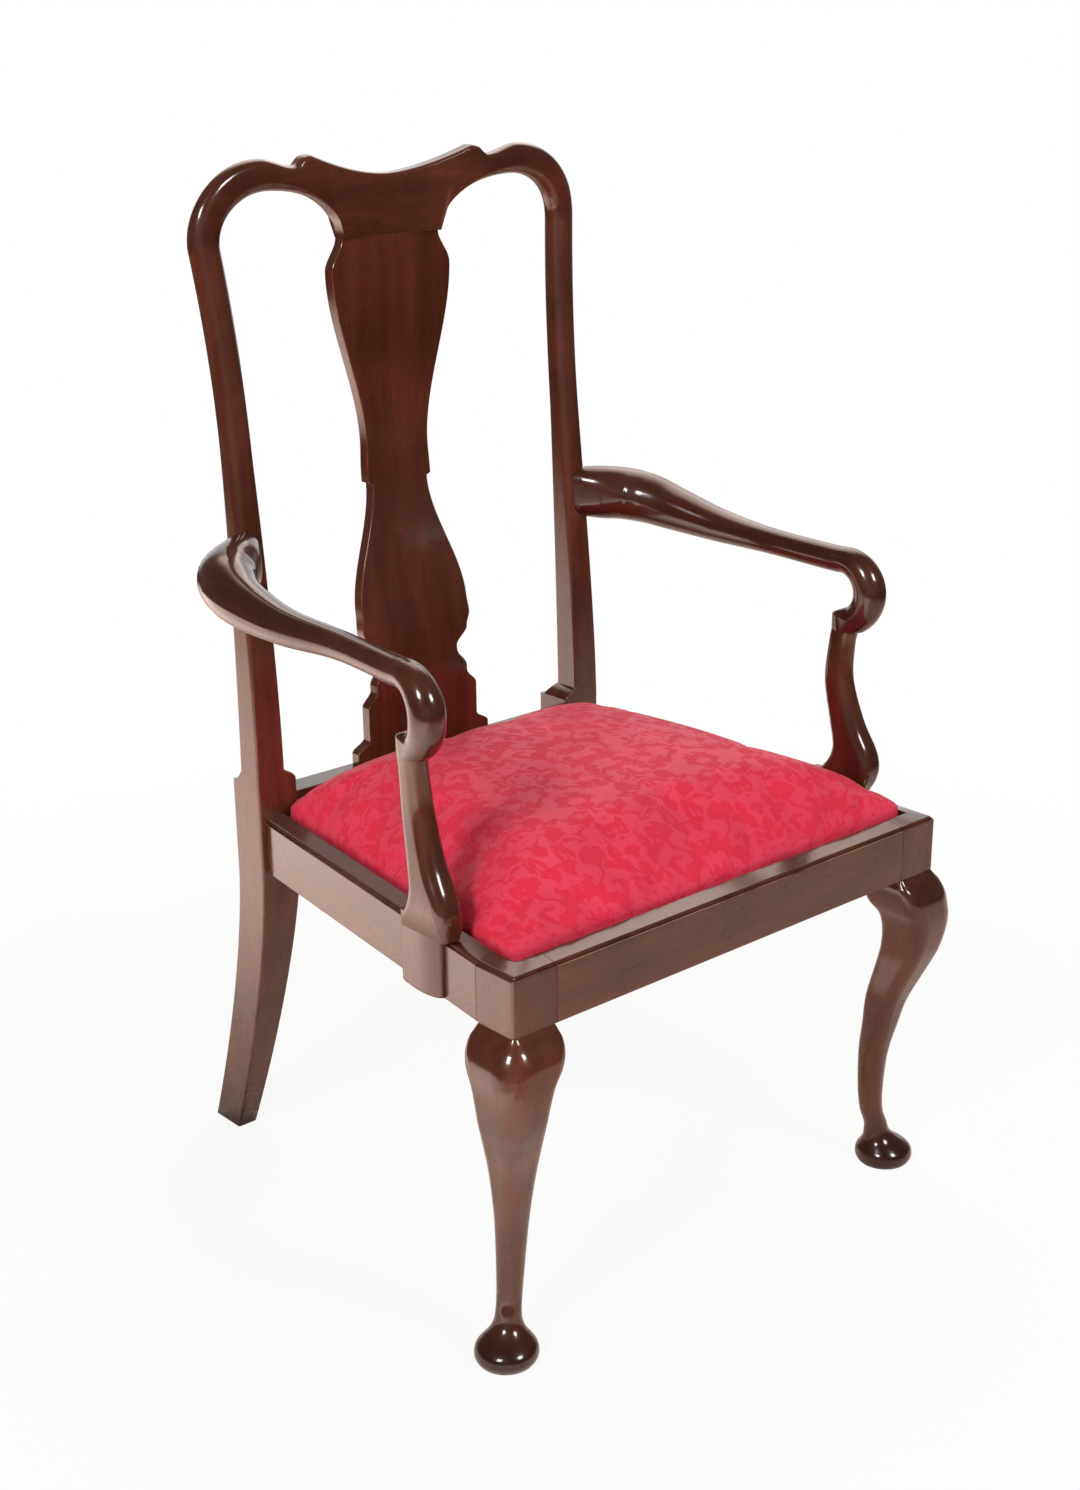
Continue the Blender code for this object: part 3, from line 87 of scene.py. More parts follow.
# Rear posts and stiles
POST_OUTER_X = REAR_WIDTH / 2 + 0.0045
POST_WIDTH = 0.0332
POST_DEPTH = 0.032
POST_INNER_X = POST_OUTER_X - POST_WIDTH
POST_TOP = RAIL_TOP + 0.0225
POST_STEP = 0.0085
STILE_HEIGHT = 0.365
STILE_BASE = POST_TOP + POST_STEP
CREST_JOINT = POST_TOP + STILE_HEIGHT
STILE_WAIST_SHARE = 0.62
STILE_DRAW, STILE_FLARE, STILE_SWEEP = 0.0036, 0.0080, 0.0275
STILE_WIDTHS = (0.0235, 0.0198, 0.0216)
STILE_DEPTHS = (0.0216, 0.0178)
LEG_ARRIS, STILE_ROUNDING = 0.0018, 0.0068
REAR_FOOT_SET, REAR_FOOT_WIDTH, REAR_FOOT_DEPTH = 0.015, 0.0165, 0.0318
REAR_RAKE, REAR_CURVE = 0.077, 1.37
REAR_RAIL_BACK = POST_Y + POST_DEPTH - 0.002
SHOE_FRONT = POST_Y + 0.005
SHOE_DEPTH = 0.025
SHOE_TOP = RAIL_TOP + 0.009

# Arms and supports
ARM_REAR_Z = RAIL_TOP + 0.1852
ARM_FRONT_Z = RAIL_TOP + 0.1664
ARM_X = FRONT_WIDTH / 2 + 0.0025
CROOK_RADIUS = 0.0225
CROOK_Y = POST_Y - SEAT_DEPTH * 0.69968
CROOK_Z = ARM_FRONT_Z - CROOK_RADIUS
CROOK_SWEEP = 177.0
CROOK_DRAW = 0.0025
CROOK_SET = 0.0018
ARM_WAIST = 0.0095
CROOK_THICKNESS = 0.0117
CROOK_END_CORNER = 0.0035
TAIL_CORNER = 0.0020
SUPPORT_TOP = CROOK_Z - CROOK_RADIUS - 0.005
SUPPORT_TOP_HALF = 0.0088
SUPPORT_LEAN = 0.0136
SUPPORT_FOOT_HALF = 0.0225
LAP_WIDTH = 0.034
LAP_REAR = CROOK_Y - SUPPORT_LEAN + SUPPORT_FOOT_HALF + 0.002
LAP_SPREAD = 0.0055
LAP_PROUD = 0.0089
LAP_TURN, LAP_ARRIS, LAP_TOE = 0.0260, 0.0016, 0.0022

# Crest and splat
EAR_TOP_X, EAR_TOP_HEIGHT = 0.1125, 0.0568
VALLEY_X, VALLEY_HEIGHT = 0.0845, 0.0508
HUMP_X, HUMP_HEIGHT = 0.0700, 0.0573
ARCH_X, ARCH_HEIGHT = 0.1066, 0.0357
CREST_DIP_HEIGHT = 0.0416
CREST_DEPTHS = (0.0118, 0.0135, 0.0178)
CREST_RAKE, CREST_BEND = 0.11, 0.014
CREST_CORNER, EAR_ROUNDING, JOINT_CORNER = 0.003, 0.0056, 0.0003
NECK_HALF = 0.0425
SPLAT_BOTTOM = SHOE_TOP + FIT
SPLAT_HEIGHT = CREST_JOINT - SPLAT_BOTTOM
SPLAT_THICKNESS = 0.009
SPLAT_SET, SPLAT_SPOON, SPLAT_ARRIS = 0.016, 0.0225, 0.0009
SPOON_START, SPOON_LENGTH = 0.10, 0.52

# Slip seat
SEAT_CLEARANCE = 0.001
SEAT_FRONT = FRONT_Y + SEAT_LIP + SEAT_CLEARANCE
SEAT_REAR = POST_Y - SEAT_CLEARANCE
SEAT_INSET = SEAT_LIP + SEAT_CLEARANCE
COVER_THICKNESS = 0.0012
COVER_HEM = 0.018
HEM_LOW = LEDGE + FIT
FRAME_LOW = HEM_LOW + COVER_THICKNESS + FIT
FRAME_HIGH = FRAME_LOW + 0.012
FRAME_INSET = COVER_THICKNESS + FIT
WEBBING_THICKNESS = 0.0012
WEBBING_WIDTH = 0.044
WEBBING_LOW = FRAME_HIGH + FIT
WEBBING_WAVE = WEBBING_THICKNESS + FIT
HESSIAN_LOW = WEBBING_LOW + WEBBING_WAVE + WEBBING_THICKNESS + FIT
HESSIAN_THICKNESS = 0.0008
HESSIAN_MARGIN = 0.002
STUFFING_LOW = HESSIAN_LOW + HESSIAN_THICKNESS + FIT
COVER_EDGE = STUFFING_LOW + 0.0065
PRESSURE_RISE = 0.004
CROWN_FULLNESS, CROWN_SHOULDER = 3.2, 0.65
PLAN_SQUARENESS = (3.0, 28.0)
SIDE_BOW = 0.0012
CORNER_THINNING, CROWN_FADE = 0.5, 0.02
STRAP_MARGIN = 0.010
FRAME_MEMBER = 0.036


class ArmchairWood(bpy.types.PropertyGroup):
    """Colours and edges of the polished wood."""

    heartwood: FloatVectorProperty(
        name="Heartwood", description="Main colour of the mahogany", subtype="COLOR", size=4,
        min=0.0, max=1.0, default=(0.068, 0.0150, 0.0072, 1.0))
    ribbon: FloatVectorProperty(
        name="Ribbon", description="Lighter stripe in the mahogany", subtype="COLOR", size=4,
        min=0.0, max=1.0, default=(0.122, 0.0300, 0.0130, 1.0))
    pores: FloatVectorProperty(
        name="Pores", description="Colour of the filled pores", subtype="COLOR", size=4,
        min=0.0, max=1.0, default=(0.022, 0.006, 0.004, 1.0))
    beech: FloatVectorProperty(
        name="Beech", description="Plain wood of the blocks and slip frame", subtype="COLOR", size=4,
        min=0.0, max=1.0, default=(0.47, 0.31, 0.17, 1.0))
    edge: FloatProperty(
        name="Edge rounding", description="Rounding of the rails' arrises", subtype="DISTANCE",
        unit="LENGTH", default=0.0009, min=0.0002, max=0.002)
    thumb: FloatProperty(
        name="Thumb moulding", description="Width of the moulding's rounded edge", subtype="DISTANCE",
        unit="LENGTH", default=0.0024, min=0.001, max=0.010)


class ArmchairSeat(bpy.types.PropertyGroup):
    """Colours and fullness of the slip seat."""

    ground: FloatVectorProperty(
        name="Ground", description="Colour of the damask's ground", subtype="COLOR", size=4,
        min=0.0, max=1.0, default=(0.82, 0.026, 0.064, 1.0))
    figure: FloatVectorProperty(
        name="Figure", description="Colour of the damask's figure", subtype="COLOR", size=4,
        min=0.0, max=1.0, default=(0.87, 0.052, 0.102, 1.0))
    jute: FloatVectorProperty(
        name="Jute", description="Colour of the webbing and hessian", subtype="COLOR", size=4,
        min=0.0, max=1.0, default=(0.40, 0.29, 0.16, 1.0))
    crown: FloatProperty(
        name="Crown", description="Rise of the pad over its edge", subtype="DISTANCE", unit="LENGTH",
        default=0.0458, min=0.02, max=0.07)
    repeat: FloatProperty(
        name="Repeat", description="Width of the damask's repeat", subtype="DISTANCE", unit="LENGTH",
        default=0.118, min=0.04, max=0.25)
    tacks: IntProperty(
        name="Tacks", description="Tacks along each side of the hem", default=11, min=3, max=40)


class ArmchairStage(bpy.types.PropertyGroup):
    """The floor, the light and the camera."""

    lens: FloatProperty(
        name="Lens", description="Focal length of the camera", subtype="DISTANCE_CAMERA",
        unit="CAMERA", default=51.451, min=20.0, max=200.0)
    distance: FloatProperty(
        name="Distance", description="From the camera to the chair", subtype="DISTANCE",
        unit="LENGTH", default=1.4968, min=0.5, max=10.0)
    azimuth: FloatProperty(
        name="Azimuth", description="Camera's turn round the chair", subtype="ANGLE",
        unit="ROTATION", default=math.radians(-42.003))
    elevation: FloatProperty(
        name="Elevation", description="Camera's height as an angle", subtype="ANGLE",
        unit="ROTATION", default=math.radians(20.489))
    roll: FloatProperty(
        name="Roll", description="Camera's tilt", subtype="ANGLE", unit="ROTATION", default=-0.004)


# Shapes

def plain_mesh(name, bm):
    mesh = bpy.data.meshes.new(name)
    bm.to_mesh(mesh)
    bm.free()
    return mesh


def new_object(name, data):
    obj = bpy.data.objects.new(name, data)
    bpy.context.scene.collection.objects.link(obj)
    return obj


def new_mesh(name, bm):
    """A mesh from a closed bmesh, its doubles merged and its faces turned outwards."""
    bmesh.ops.remove_doubles(bm, verts=bm.verts, dist=WELD)
    bmesh.ops.dissolve_degenerate(bm, edges=bm.edges, dist=WELD)
    bmesh.ops.recalc_face_normals(bm, faces=bm.faces)
    mark_arrises(bm)
    return plain_mesh(name, bm)


def mark_arrises(bm):
    """Stores how tightly the surface bends outwards at each point, 1 at a rounding of a millimetre."""
    layer = bm.verts.layers.float.new("arris")
    for edge in bm.edges:
        if len(edge.link_faces) != 2 or not edge.is_convex:
            continue
        if max(len(face.verts) for face in edge.link_faces) > 12:
            continue
        width = max(face.calc_area() for face in edge.link_faces) / max(edge.calc_length(), 0.00001)
        bend = min(edge.calc_face_angle(0.0) / max(width, 0.0001) / 1000.0, 1.0)
        for vert in edge.verts:
            vert[layer] = max(vert[layer], bend)


def new_piece(name, mesh, material, body, nodes=(), sharp=32.0):
    """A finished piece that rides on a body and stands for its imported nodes."""
    obj = new_object(name, mesh)
    mesh.materials.clear()
    mesh.materials.append(material)
    mesh.shade_smooth()
    mesh.set_sharp_from_angle(angle=math.radians(sharp))
    flatten = obj.modifiers.new("flat_faces", "WEIGHTED_NORMAL")
    flatten.keep_sharp = True
    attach(obj, body)
    if nodes:
        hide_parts(*nodes)
    return obj


def polished(name, bm, grain, sharp):
    """A mahogany piece of the frame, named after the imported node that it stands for."""
    new_piece("polished_" + name, new_mesh(name, bm), mahogany(grain), FRAME_BODY, [name],
              sharp)


def ease(share):
    share = min(max(share, 0.0), 1.0)
    return share * share * (3.0 - 2.0 * share)


def between(first, last, share):
    return first + (last - first) * share


def spread(first, last, count):
    return [first + (last - first) * i / (count - 1) for i in range(count)]


def arc(centre, radii, start, end, count=6):
    """Points of an arc, as pairs, between two angles in degrees."""
    return [
        (centre[0] + radii[0] * math.cos(math.radians(angle)),
         centre[1] + radii[1] * math.sin(math.radians(angle)))
        for angle in spread(start, end, count)
    ]


def smooth_stations(stations, steps):
    """A Catmull-Rom curve through stations of equal length, with steps points a span."""
    padded = [stations[0], *stations, stations[-1]]
    curve = []
    for i in range(1, len(padded) - 2):
        before, start, end, after = padded[i - 1:i + 3]
        for step in range(steps):
            t = step / steps
            curve.append([
                b + 0.5 * t * (c - a + t * (2 * a - 5 * b + 4 * c - d + t * (3 * (b - c) + d - a)))
                for a, b, c, d in zip(before, start, end, after)
            ])
    curve.append(list(stations[-1]))
    return curve


def rounded_section(half_u, half_v, radius, corner_points):
    """Points round a rectangle, as (u, v), its corners rounded alike or each by its own radius."""
    radii = radius if isinstance(radius, tuple) else (radius,) * 4
    points = []
    for corner in range(4):
        radius = min(radii[corner], half_u, half_v)
        start = 90.0 * corner
        middle = math.radians(start + 45.0)
        centre = (math.copysign(half_u - radius, math.cos(middle)),
                  math.copysign(half_v - radius, math.sin(middle)))
        points += arc(centre, (radius, radius), start, start + 90.0, corner_points)
    return points


def ring_at(centre, u_axis, v_axis, half_u, half_v, radius, corner_points=8):
    centre, u_axis, v_axis = Vector(centre), Vector(u_axis), Vector(v_axis)
    section = rounded_section(half_u, half_v, radius, corner_points)
    return [centre + u_axis * u + v_axis * v for u, v in section]


def skin(rings, mirror=1):
    """A closed bmesh over rings of equal count, mirrored in X where asked."""
    bm = bmesh.new()
    rows = [[bm.verts.new((mirror * p[0], p[1], p[2])) for p in ring] for ring in rings]
    count = len(rows[0])
    for below, above in zip(rows, rows[1:]):
        for i in range(count):
            j = (i + 1) % count
            bm.faces.new((below[i], below[j], above[j], above[i]))
    bm.faces.new(rows[0])
    bm.faces.new(rows[-1])
    return bm


def moulding(section, face, end, inward=1):
    """A section of (set in from the face, height) run along X between equal ends."""
    return skin([[(x, face + inward * inset, height) for inset, height in section] for x in (-end, end)])


def quads(bm, rows):
    """Faces between rows of points."""
    for below, above in zip(rows, rows[1:]):
        for i in range(len(below) - 1):
            bm.faces.new((below[i], below[i + 1], above[i + 1], above[i]))


def trim(bm, point, normal):
    """Cuts off what lies on the normal's side of a plane, and closes the cut."""
    geometry = bm.verts[:] + bm.edges[:] + bm.faces[:]
    bmesh.ops.bisect_plane(bm, geom=geometry, dist=0.000001, plane_co=point, plane_no=normal,
                           clear_outer=True)
    edges = [edge for edge in bm.edges if edge.is_boundary]
    bmesh.ops.holes_fill(bm, edges=edges, sides=0)


def combined(first, second, operation):
    """An exact Boolean of two closed bmeshes."""
    raw = [new_object("raw", new_mesh("raw", bm)) for bm in (first, second)]
    modifier = raw[0].modifiers.new("combine", "BOOLEAN")
    modifier.operation = operation
    modifier.solver = "EXACT"
    modifier.object = raw[1]
    graph = bpy.context.evaluated_depsgraph_get()
    mesh = bpy.data.meshes.new_from_object(raw[0].evaluated_get(graph))
    made = bmesh.new()
    made.from_mesh(mesh)
    bpy.data.meshes.remove(mesh)
    for obj in raw:
        mesh = obj.data
        bpy.data.objects.remove(obj, do_unlink=True)
        bpy.data.meshes.remove(mesh)
    return made


# Plan of the seat

def rail_outer_x(y):
    return FRONT_WIDTH / 2 - SPLAY * (y - BLOCK_BACK_Y)


def inset_x(y, inset):
    return rail_outer_x(y) - inset * SPLAY_STRETCH


def rail_section(thickness, edge, thumb):
    """(set in from the outer face, height) round a moulded seat rail."""
    quirk, step, soft, fall = RAIL_TOP - 0.0045, 0.0008, 0.0006, 12.0
    points = arc((edge, RAIL_BOTTOM + edge), (edge, edge), 270.0, 180.0, 4)
    points += arc((soft, quirk - soft), (soft, soft), 180.0, 90.0, 4)
    points += [(step, quirk), (step + 0.0002, quirk - 0.0008), (step + 0.0007, quirk - 0.0008)]
    foot = step + 0.0009
    drop = (SEAT_LIP - soft - foot - thumb) * math.tan(math.radians(fall))
    points += arc((foot + thumb, quirk), (thumb, RAIL_TOP - quirk - drop), 180.0, 90.0 + fall, 7)
    points += [(SEAT_LIP - 0.0010, RAIL_TOP - 0.0001)]
    points += arc((SEAT_LIP - soft, RAIL_TOP - soft), (soft, soft), 90.0, 0.0, 4)
    points += [(SEAT_LIP, LEDGE), (thickness, LEDGE), (thickness, RAIL_BOTTOM)]
    return points


# Front legs

# Height, shift out along the diagonal and radius of the foot
FOOT_STATIONS = [
    (0.0000, 0.0015, 0.0190), (0.0030, 0.0015, 0.0209), (0.0065, 0.0015, 0.0214),
    (0.0105, 0.0012, 0.0203), (0.0145, 0.0003, 0.0170), (0.0190, -0.0022, 0.0126),
    (0.0245, -0.0045, 0.0097), (0.0320, -0.0060, 0.0086),
]
# Share of the height over the ankle, shift, half the section, its corners and the knee's ridge
LEG_STATIONS = [
    (0.053, -0.0095, 0.0086, 0.0086, 0.0086), (0.144, -0.0110, 0.0094, 0.0094, 0.0094),
    (0.286, -0.0103, 0.0106, 0.0098, 0.0098), (0.398, -0.0067, 0.0119, 0.0095, 0.0095),
    (0.506, -0.0025, 0.0137, 0.0092, 0.0100), (0.622, 0.0064, 0.0162, 0.0095, 0.0114),
    (0.703, 0.0124, 0.0182, 0.0100, 0.0132), (0.780, 0.0148, 0.0200, 0.0105, 0.0150),
    (0.835, 0.0140, 0.0219, 0.0112, 0.0172), (0.878, 0.0100, 0.0243, 0.0112, 0.0188),
    (0.920, 0.0072, 0.0247, 0.0100, 0.0186), (0.958, 0.0038, 0.0225, 0.0070, 0.0134),
    (0.984, 0.0010, 0.0191, 0.0040, 0.0068),
]
BLOCK_CORNER, BLOCK_ARRIS, BLOCK_OVERLAP = 0.0034, 0.0022, 0.004
FOOT_LEAN = 0.0095


def cabriole_leg(side):
    """The leg below its block: stations give a height, the shift out along the diagonal, half the
    section and its corner, and the whole leg leans towards its foot."""
    ankle = FOOT_STATIONS[-1][0]
    stations = [(height, shift, half, half, half) for height, shift, half in FOOT_STATIONS]
    stations += [(ankle + (RAIL_BOTTOM - ankle) * share, *rest) for share, *rest in LEG_STATIONS]
    stations.append((RAIL_BOTTOM - FIT, 0.0, LEG_BLOCK / 2 - FIT, BLOCK_ARRIS, BLOCK_CORNER))
    centre_x, centre_y = (FRONT_WIDTH - LEG_BLOCK) / 2, FRONT_Y + LEG_BLOCK / 2
    curve = smooth_stations(stations, 6)
    curve.append((RAIL_BOTTOM + BLOCK_OVERLAP, 0.0, LEG_BLOCK / 2 - 2 * FIT, BLOCK_ARRIS, BLOCK_CORNER))
    rings = []
    for height, shift, half, corner, ridge in curve:
        lean = FOOT_LEAN * max(1.0 - height / RAIL_BOTTOM, 0.0)
        out, back = (lean + shift) * math.sqrt(0.5), (lean - shift) * math.sqrt(0.5)
        centre = (centre_x + out, centre_y + back, max(height, 0.0))
        rings.append(ring_at(centre, (1, 0, 0), (0, 1, 0), half, half, (corner, corner, corner, ridge), 9))
    return skin(rings, side)


def leg_block(side, edge, thumb):
    """The square block over the leg, its moulding mitred round a softened corner."""
    soft = BLOCK_CORNER
    corner_x = FRONT_WIDTH / 2
    columns = [[] for _ in range(9)]
    for inset, height in rail_section(LEG_BLOCK - FIT, edge, thumb):
        plan = [(BLOCK_INNER_X + FIT / 2, FRONT_Y + inset)]
        for angle in spread(0.0, 90.0, 7):
            reach = max(soft - inset, 0.0)
            deep = max(soft, inset)
            turn = math.radians(angle)
            plan.append((corner_x - deep + reach * math.sin(turn), FRONT_Y + deep - reach * math.cos(turn)))
        plan.append((corner_x - inset, BLOCK_BACK_Y - FIT / 2))
        for column, (x, y) in zip(columns, plan):
            column.append((x, y, height))
    return skin(columns, side)


class ARMCHAIR_OT_front_legs(bpy.types.Operator):
    """Make the two cabriole legs with their blocks"""

    bl_idname = "armchair.front_legs"
    bl_label = "Front legs"

    def execute(self, context):
        wood = context.scene.armchair_wood
        for side, label in SIDES:
            leg = combined(cabriole_leg(side), leg_block(side, wood.edge, wood.thumb), "UNION")
            polished("front_leg_" + label, leg, "upright", 38.0)
        return {"FINISHED"}


# Rear legs and stiles

def stile_outer_x(share):
    waist = POST_OUTER_X - STILE_DRAW
    if share < STILE_WAIST_SHARE:
        return waist + STILE_DRAW * (1.0 - share / STILE_WAIST_SHARE) ** 1.5
    return waist + STILE_FLARE * ((share - STILE_WAIST_SHARE) / (1.0 - STILE_WAIST_SHARE)) ** 2


def stile_width(share):
    foot, waist, top = STILE_WIDTHS
    if share < STILE_WAIST_SHARE:
        return between(foot, waist, share / STILE_WAIST_SHARE)
    return between(waist, top, (share - STILE_WAIST_SHARE) / (1.0 - STILE_WAIST_SHARE))


def stile_front_y(share):
    return POST_Y + STILE_SWEEP * max(share, 0.0) ** 1.5


def stile_depth(share):
    return between(*STILE_DEPTHS, share)


def stile_share(height):
    return (height - POST_TOP) / STILE_HEIGHT


def stile_centre_x(share):
    return stile_outer_x(share) - stile_width(share) / 2


def rear_leg_sections():
    """(height, inner x, outer x, front y, back y, corner) from the floor to the crest joint."""
    sections = []
    for drop in spread(1.0, 0.0, 41):
        outer = POST_OUTER_X - REAR_FOOT_SET * drop
        inner = outer - between(POST_WIDTH, REAR_FOOT_WIDTH, drop)
        front = POST_Y + REAR_RAKE * drop ** REAR_CURVE
        back = front + between(POST_DEPTH, REAR_FOOT_DEPTH, drop)
        sections.append((RAIL_BOTTOM * (1.0 - drop), inner, outer, front, back, LEG_ARRIS))
    post_back = POST_Y + POST_DEPTH
    sections.append((POST_TOP - 0.0004, POST_INNER_X, POST_OUTER_X, POST_Y, post_back, LEG_ARRIS))
    for rise in spread(0.0, 1.0, 13):
        share = stile_share(POST_TOP + POST_STEP * rise)
        outer, front = stile_outer_x(share), stile_front_y(share)
        inner = between(POST_INNER_X, outer - stile_width(share), rise ** 2)
        back = min(post_back, front + stile_depth(share) + 0.006 * (1.0 - rise))
        sections.append((POST_TOP + POST_STEP * rise, inner, outer, front, back, LEG_ARRIS))
    for height in spread(STILE_BASE, CREST_JOINT, 65)[1:]:
        share = stile_share(height)
        outer, front = stile_outer_x(share), stile_front_y(share)
        inner, back = outer - stile_width(share), front + stile_depth(share)
        corner = LEG_ARRIS + STILE_ROUNDING * ease((share - 0.05) / 0.75)
        sections.append((height, inner, outer, front, back, corner))
    return sections


class ARMCHAIR_OT_rear_legs(bpy.types.Operator):
    """Make the raked rear legs, each in one piece with its stile"""

    bl_idname = "armchair.rear_legs"
    bl_label = "Rear legs and stiles"

    def execute(self, context):
        for side, label in SIDES:
            rings = []
            for height, inner, outer, front, back, corner in rear_leg_sections():
                centre = ((inner + outer) / 2, (front + back) / 2, height)
                rings.append(ring_at(centre, (1, 0, 0), (0, 1, 0), (outer - inner) / 2,
                                     (back - front) / 2, corner, 7))
            polished("rear_leg_" + label, skin(rings, side), "upright", 40.0)
        return {"FINISHED"}


# Seat rails

class ARMCHAIR_OT_seat_rails(bpy.types.Operator):
    """Make the four seat rails, moulded at the front and sides"""

    bl_idname = "armchair.seat_rails"
    bl_label = "Seat rails"

    def execute(self, context):
        wood = context.scene.armchair_wood
        section = rail_section(RAIL_THICKNESS, wood.edge, wood.thumb)
        polished("front_rail", moulding(section, FRONT_Y, BLOCK_INNER_X - FIT), "across", 25.0)
        for side, label in SIDES:
            rings = [
                [(inset_x(y, inset), y, height) for inset, height in section]
                for y in (BLOCK_BACK_Y + FIT, POST_Y - FIT)
            ]
            polished("side_rail_" + label, skin(rings, side), "fore_aft", 25.0)
        polished("rear_rail", self.rear_rail(wood.edge), "across", 25.0)
        return {"FINISHED"}

    def rear_rail(self, edge):
        """A plain rail with softened arrises and the ledge cut in its front."""
        section = arc((edge, RAIL_BOTTOM + edge), (edge, edge), 270.0, 180.0, 4)
        section += arc((edge, RAIL_TOP - edge), (edge, edge), 180.0, 90.0, 4)
        lip = REAR_RAIL_BACK - POST_Y - FIT
        section += [(lip, RAIL_TOP), (lip, LEDGE), (REAR_RAIL_THICKNESS, LEDGE)]
        section += [(REAR_RAIL_THICKNESS, RAIL_BOTTOM)]
        return moulding(section, REAR_RAIL_BACK, POST_INNER_X - FIT, -1)


# Back

def splat_front_y(share):
    return POST_Y + SPLAT_SET + SPLAT_SPOON * ease((share - SPOON_START) / SPOON_LENGTH)


# Share of the height, half width, and steps to the next turn of the vase
SPLAT_OUTLINE = [
    (0.000, 0.0623, 1), (0.026, 0.0623, 5), (0.048, 0.0514, 1), (0.113, 0.0514, 6), (0.142, 0.0431, 1),
    (0.154, 0.0431, 6), (0.188, 0.0349, 1), (0.197, 0.0349, 10), (0.232, 0.0462, 4), (0.260, 0.0500, 4),
    (0.295, 0.0490, 22), (0.538, 0.0251, 1), (0.542, 0.0287, 1), (0.556, 0.0287, 3), (0.612, 0.0278, 26),
    (0.940, 0.0525, 12), (1.000, NECK_HALF, 1),
]


def splat_stations():
    """(share of the height, half width), eased between the turns of the vase outline."""
    stations = []
    for (start, half, steps), (end, next_half, _) in zip(SPLAT_OUTLINE, SPLAT_OUTLINE[1:]):
        for step in range(steps):
            part = step / steps
            stations.append((between(start, end, part), between(half, next_half, ease(part))))
    stations.append((1.0, NECK_HALF))
    return stations


def crest_dip(share):
    return between(CREST_DIP_HEIGHT, HUMP_HEIGHT, share ** 1.7)


def joint_arc(apex_x, apex_height, joint_x, lean):
    """Points of an ellipse's arc that leaves the joint at the stile's lean and ends level at its apex."""
    start = math.atan(lean * apex_height / (joint_x - apex_x))
    rise = apex_height / (1.0 + math.sin(start))
    reach = (joint_x - apex_x) / math.cos(start)
    return arc((apex_x, apex_height - rise), (reach, rise), -math.degrees(start), 90.0, 30)


def eased_points(first, last, count):
    """Points after the first on a curve that is level at both its ends."""
    return [
        (between(first[0], last[0], share), between(first[1], last[1], ease(share)))
        for share in spread(0.0, 1.0, count)[1:]
    ]


def crest_outline():
    """Pairs of upper and lower outline points, as (x, height), from the right joint to the centre."""
    joint_outer = stile_outer_x(1.0)
    joint_inner = joint_outer - stile_width(1.0)
    near = 0.999
    outer_lean = (joint_outer - stile_outer_x(near)) / STILE_HEIGHT / (1.0 - near)
    inner_lean = outer_lean - (stile_width(1.0) - stile_width(near)) / STILE_HEIGHT / (1.0 - near)
    outer = joint_arc(EAR_TOP_X, EAR_TOP_HEIGHT, joint_outer, outer_lean)
    inner = joint_arc(ARCH_X, ARCH_HEIGHT, joint_inner, inner_lean)
    valley = (VALLEY_X, VALLEY_HEIGHT)
    beak = (between(HUMP_X, VALLEY_X, 0.35), HUMP_HEIGHT - 0.0008)
    upper = eased_points((EAR_TOP_X, EAR_TOP_HEIGHT), valley, 13) + eased_points(valley, beak, 6)
    upper += [(between(HUMP_X, beak[0], 0.5), HUMP_HEIGHT - 0.0002), (HUMP_X, HUMP_HEIGHT)]
    upper += [(HUMP_X * share, crest_dip(share)) for share in (0.95, 0.90, 0.85)]
    lower = arc((ARCH_X, 0.0), (ARCH_X - NECK_HALF, ARCH_HEIGHT), 90.0, 180.0, len(upper) + 1)[1:]
    pairs = list(zip(outer, inner)) + list(zip(upper, lower))
    for share in spread(1.0, 0.0, 19)[1:]:
        pairs.append(((HUMP_X * share * 0.85, crest_dip(share * 0.85)), (NECK_HALF * share, 0.0)))
    return pairs


def crest_front_y(x, height):
    """The crest's front, which leaves the stile at its rake and bends in to the splat."""
    rake = CREST_RAKE * max(height, 0.0) * math.exp(-max(height, 0.0) / CREST_BEND)
    ear, centre = stile_front_y(1.0) + rake, splat_front_y(1.0)
    return between(centre, ear, ease(abs(x) / EAR_TOP_X))


def crest_depth(x, height):
    centre, ear, joint = CREST_DEPTHS
    if abs(x) < EAR_TOP_X:
        return between(centre, ear, ease(abs(x) / EAR_TOP_X))
    return between(joint, ear, ease(height / (ARCH_HEIGHT + 0.01)))


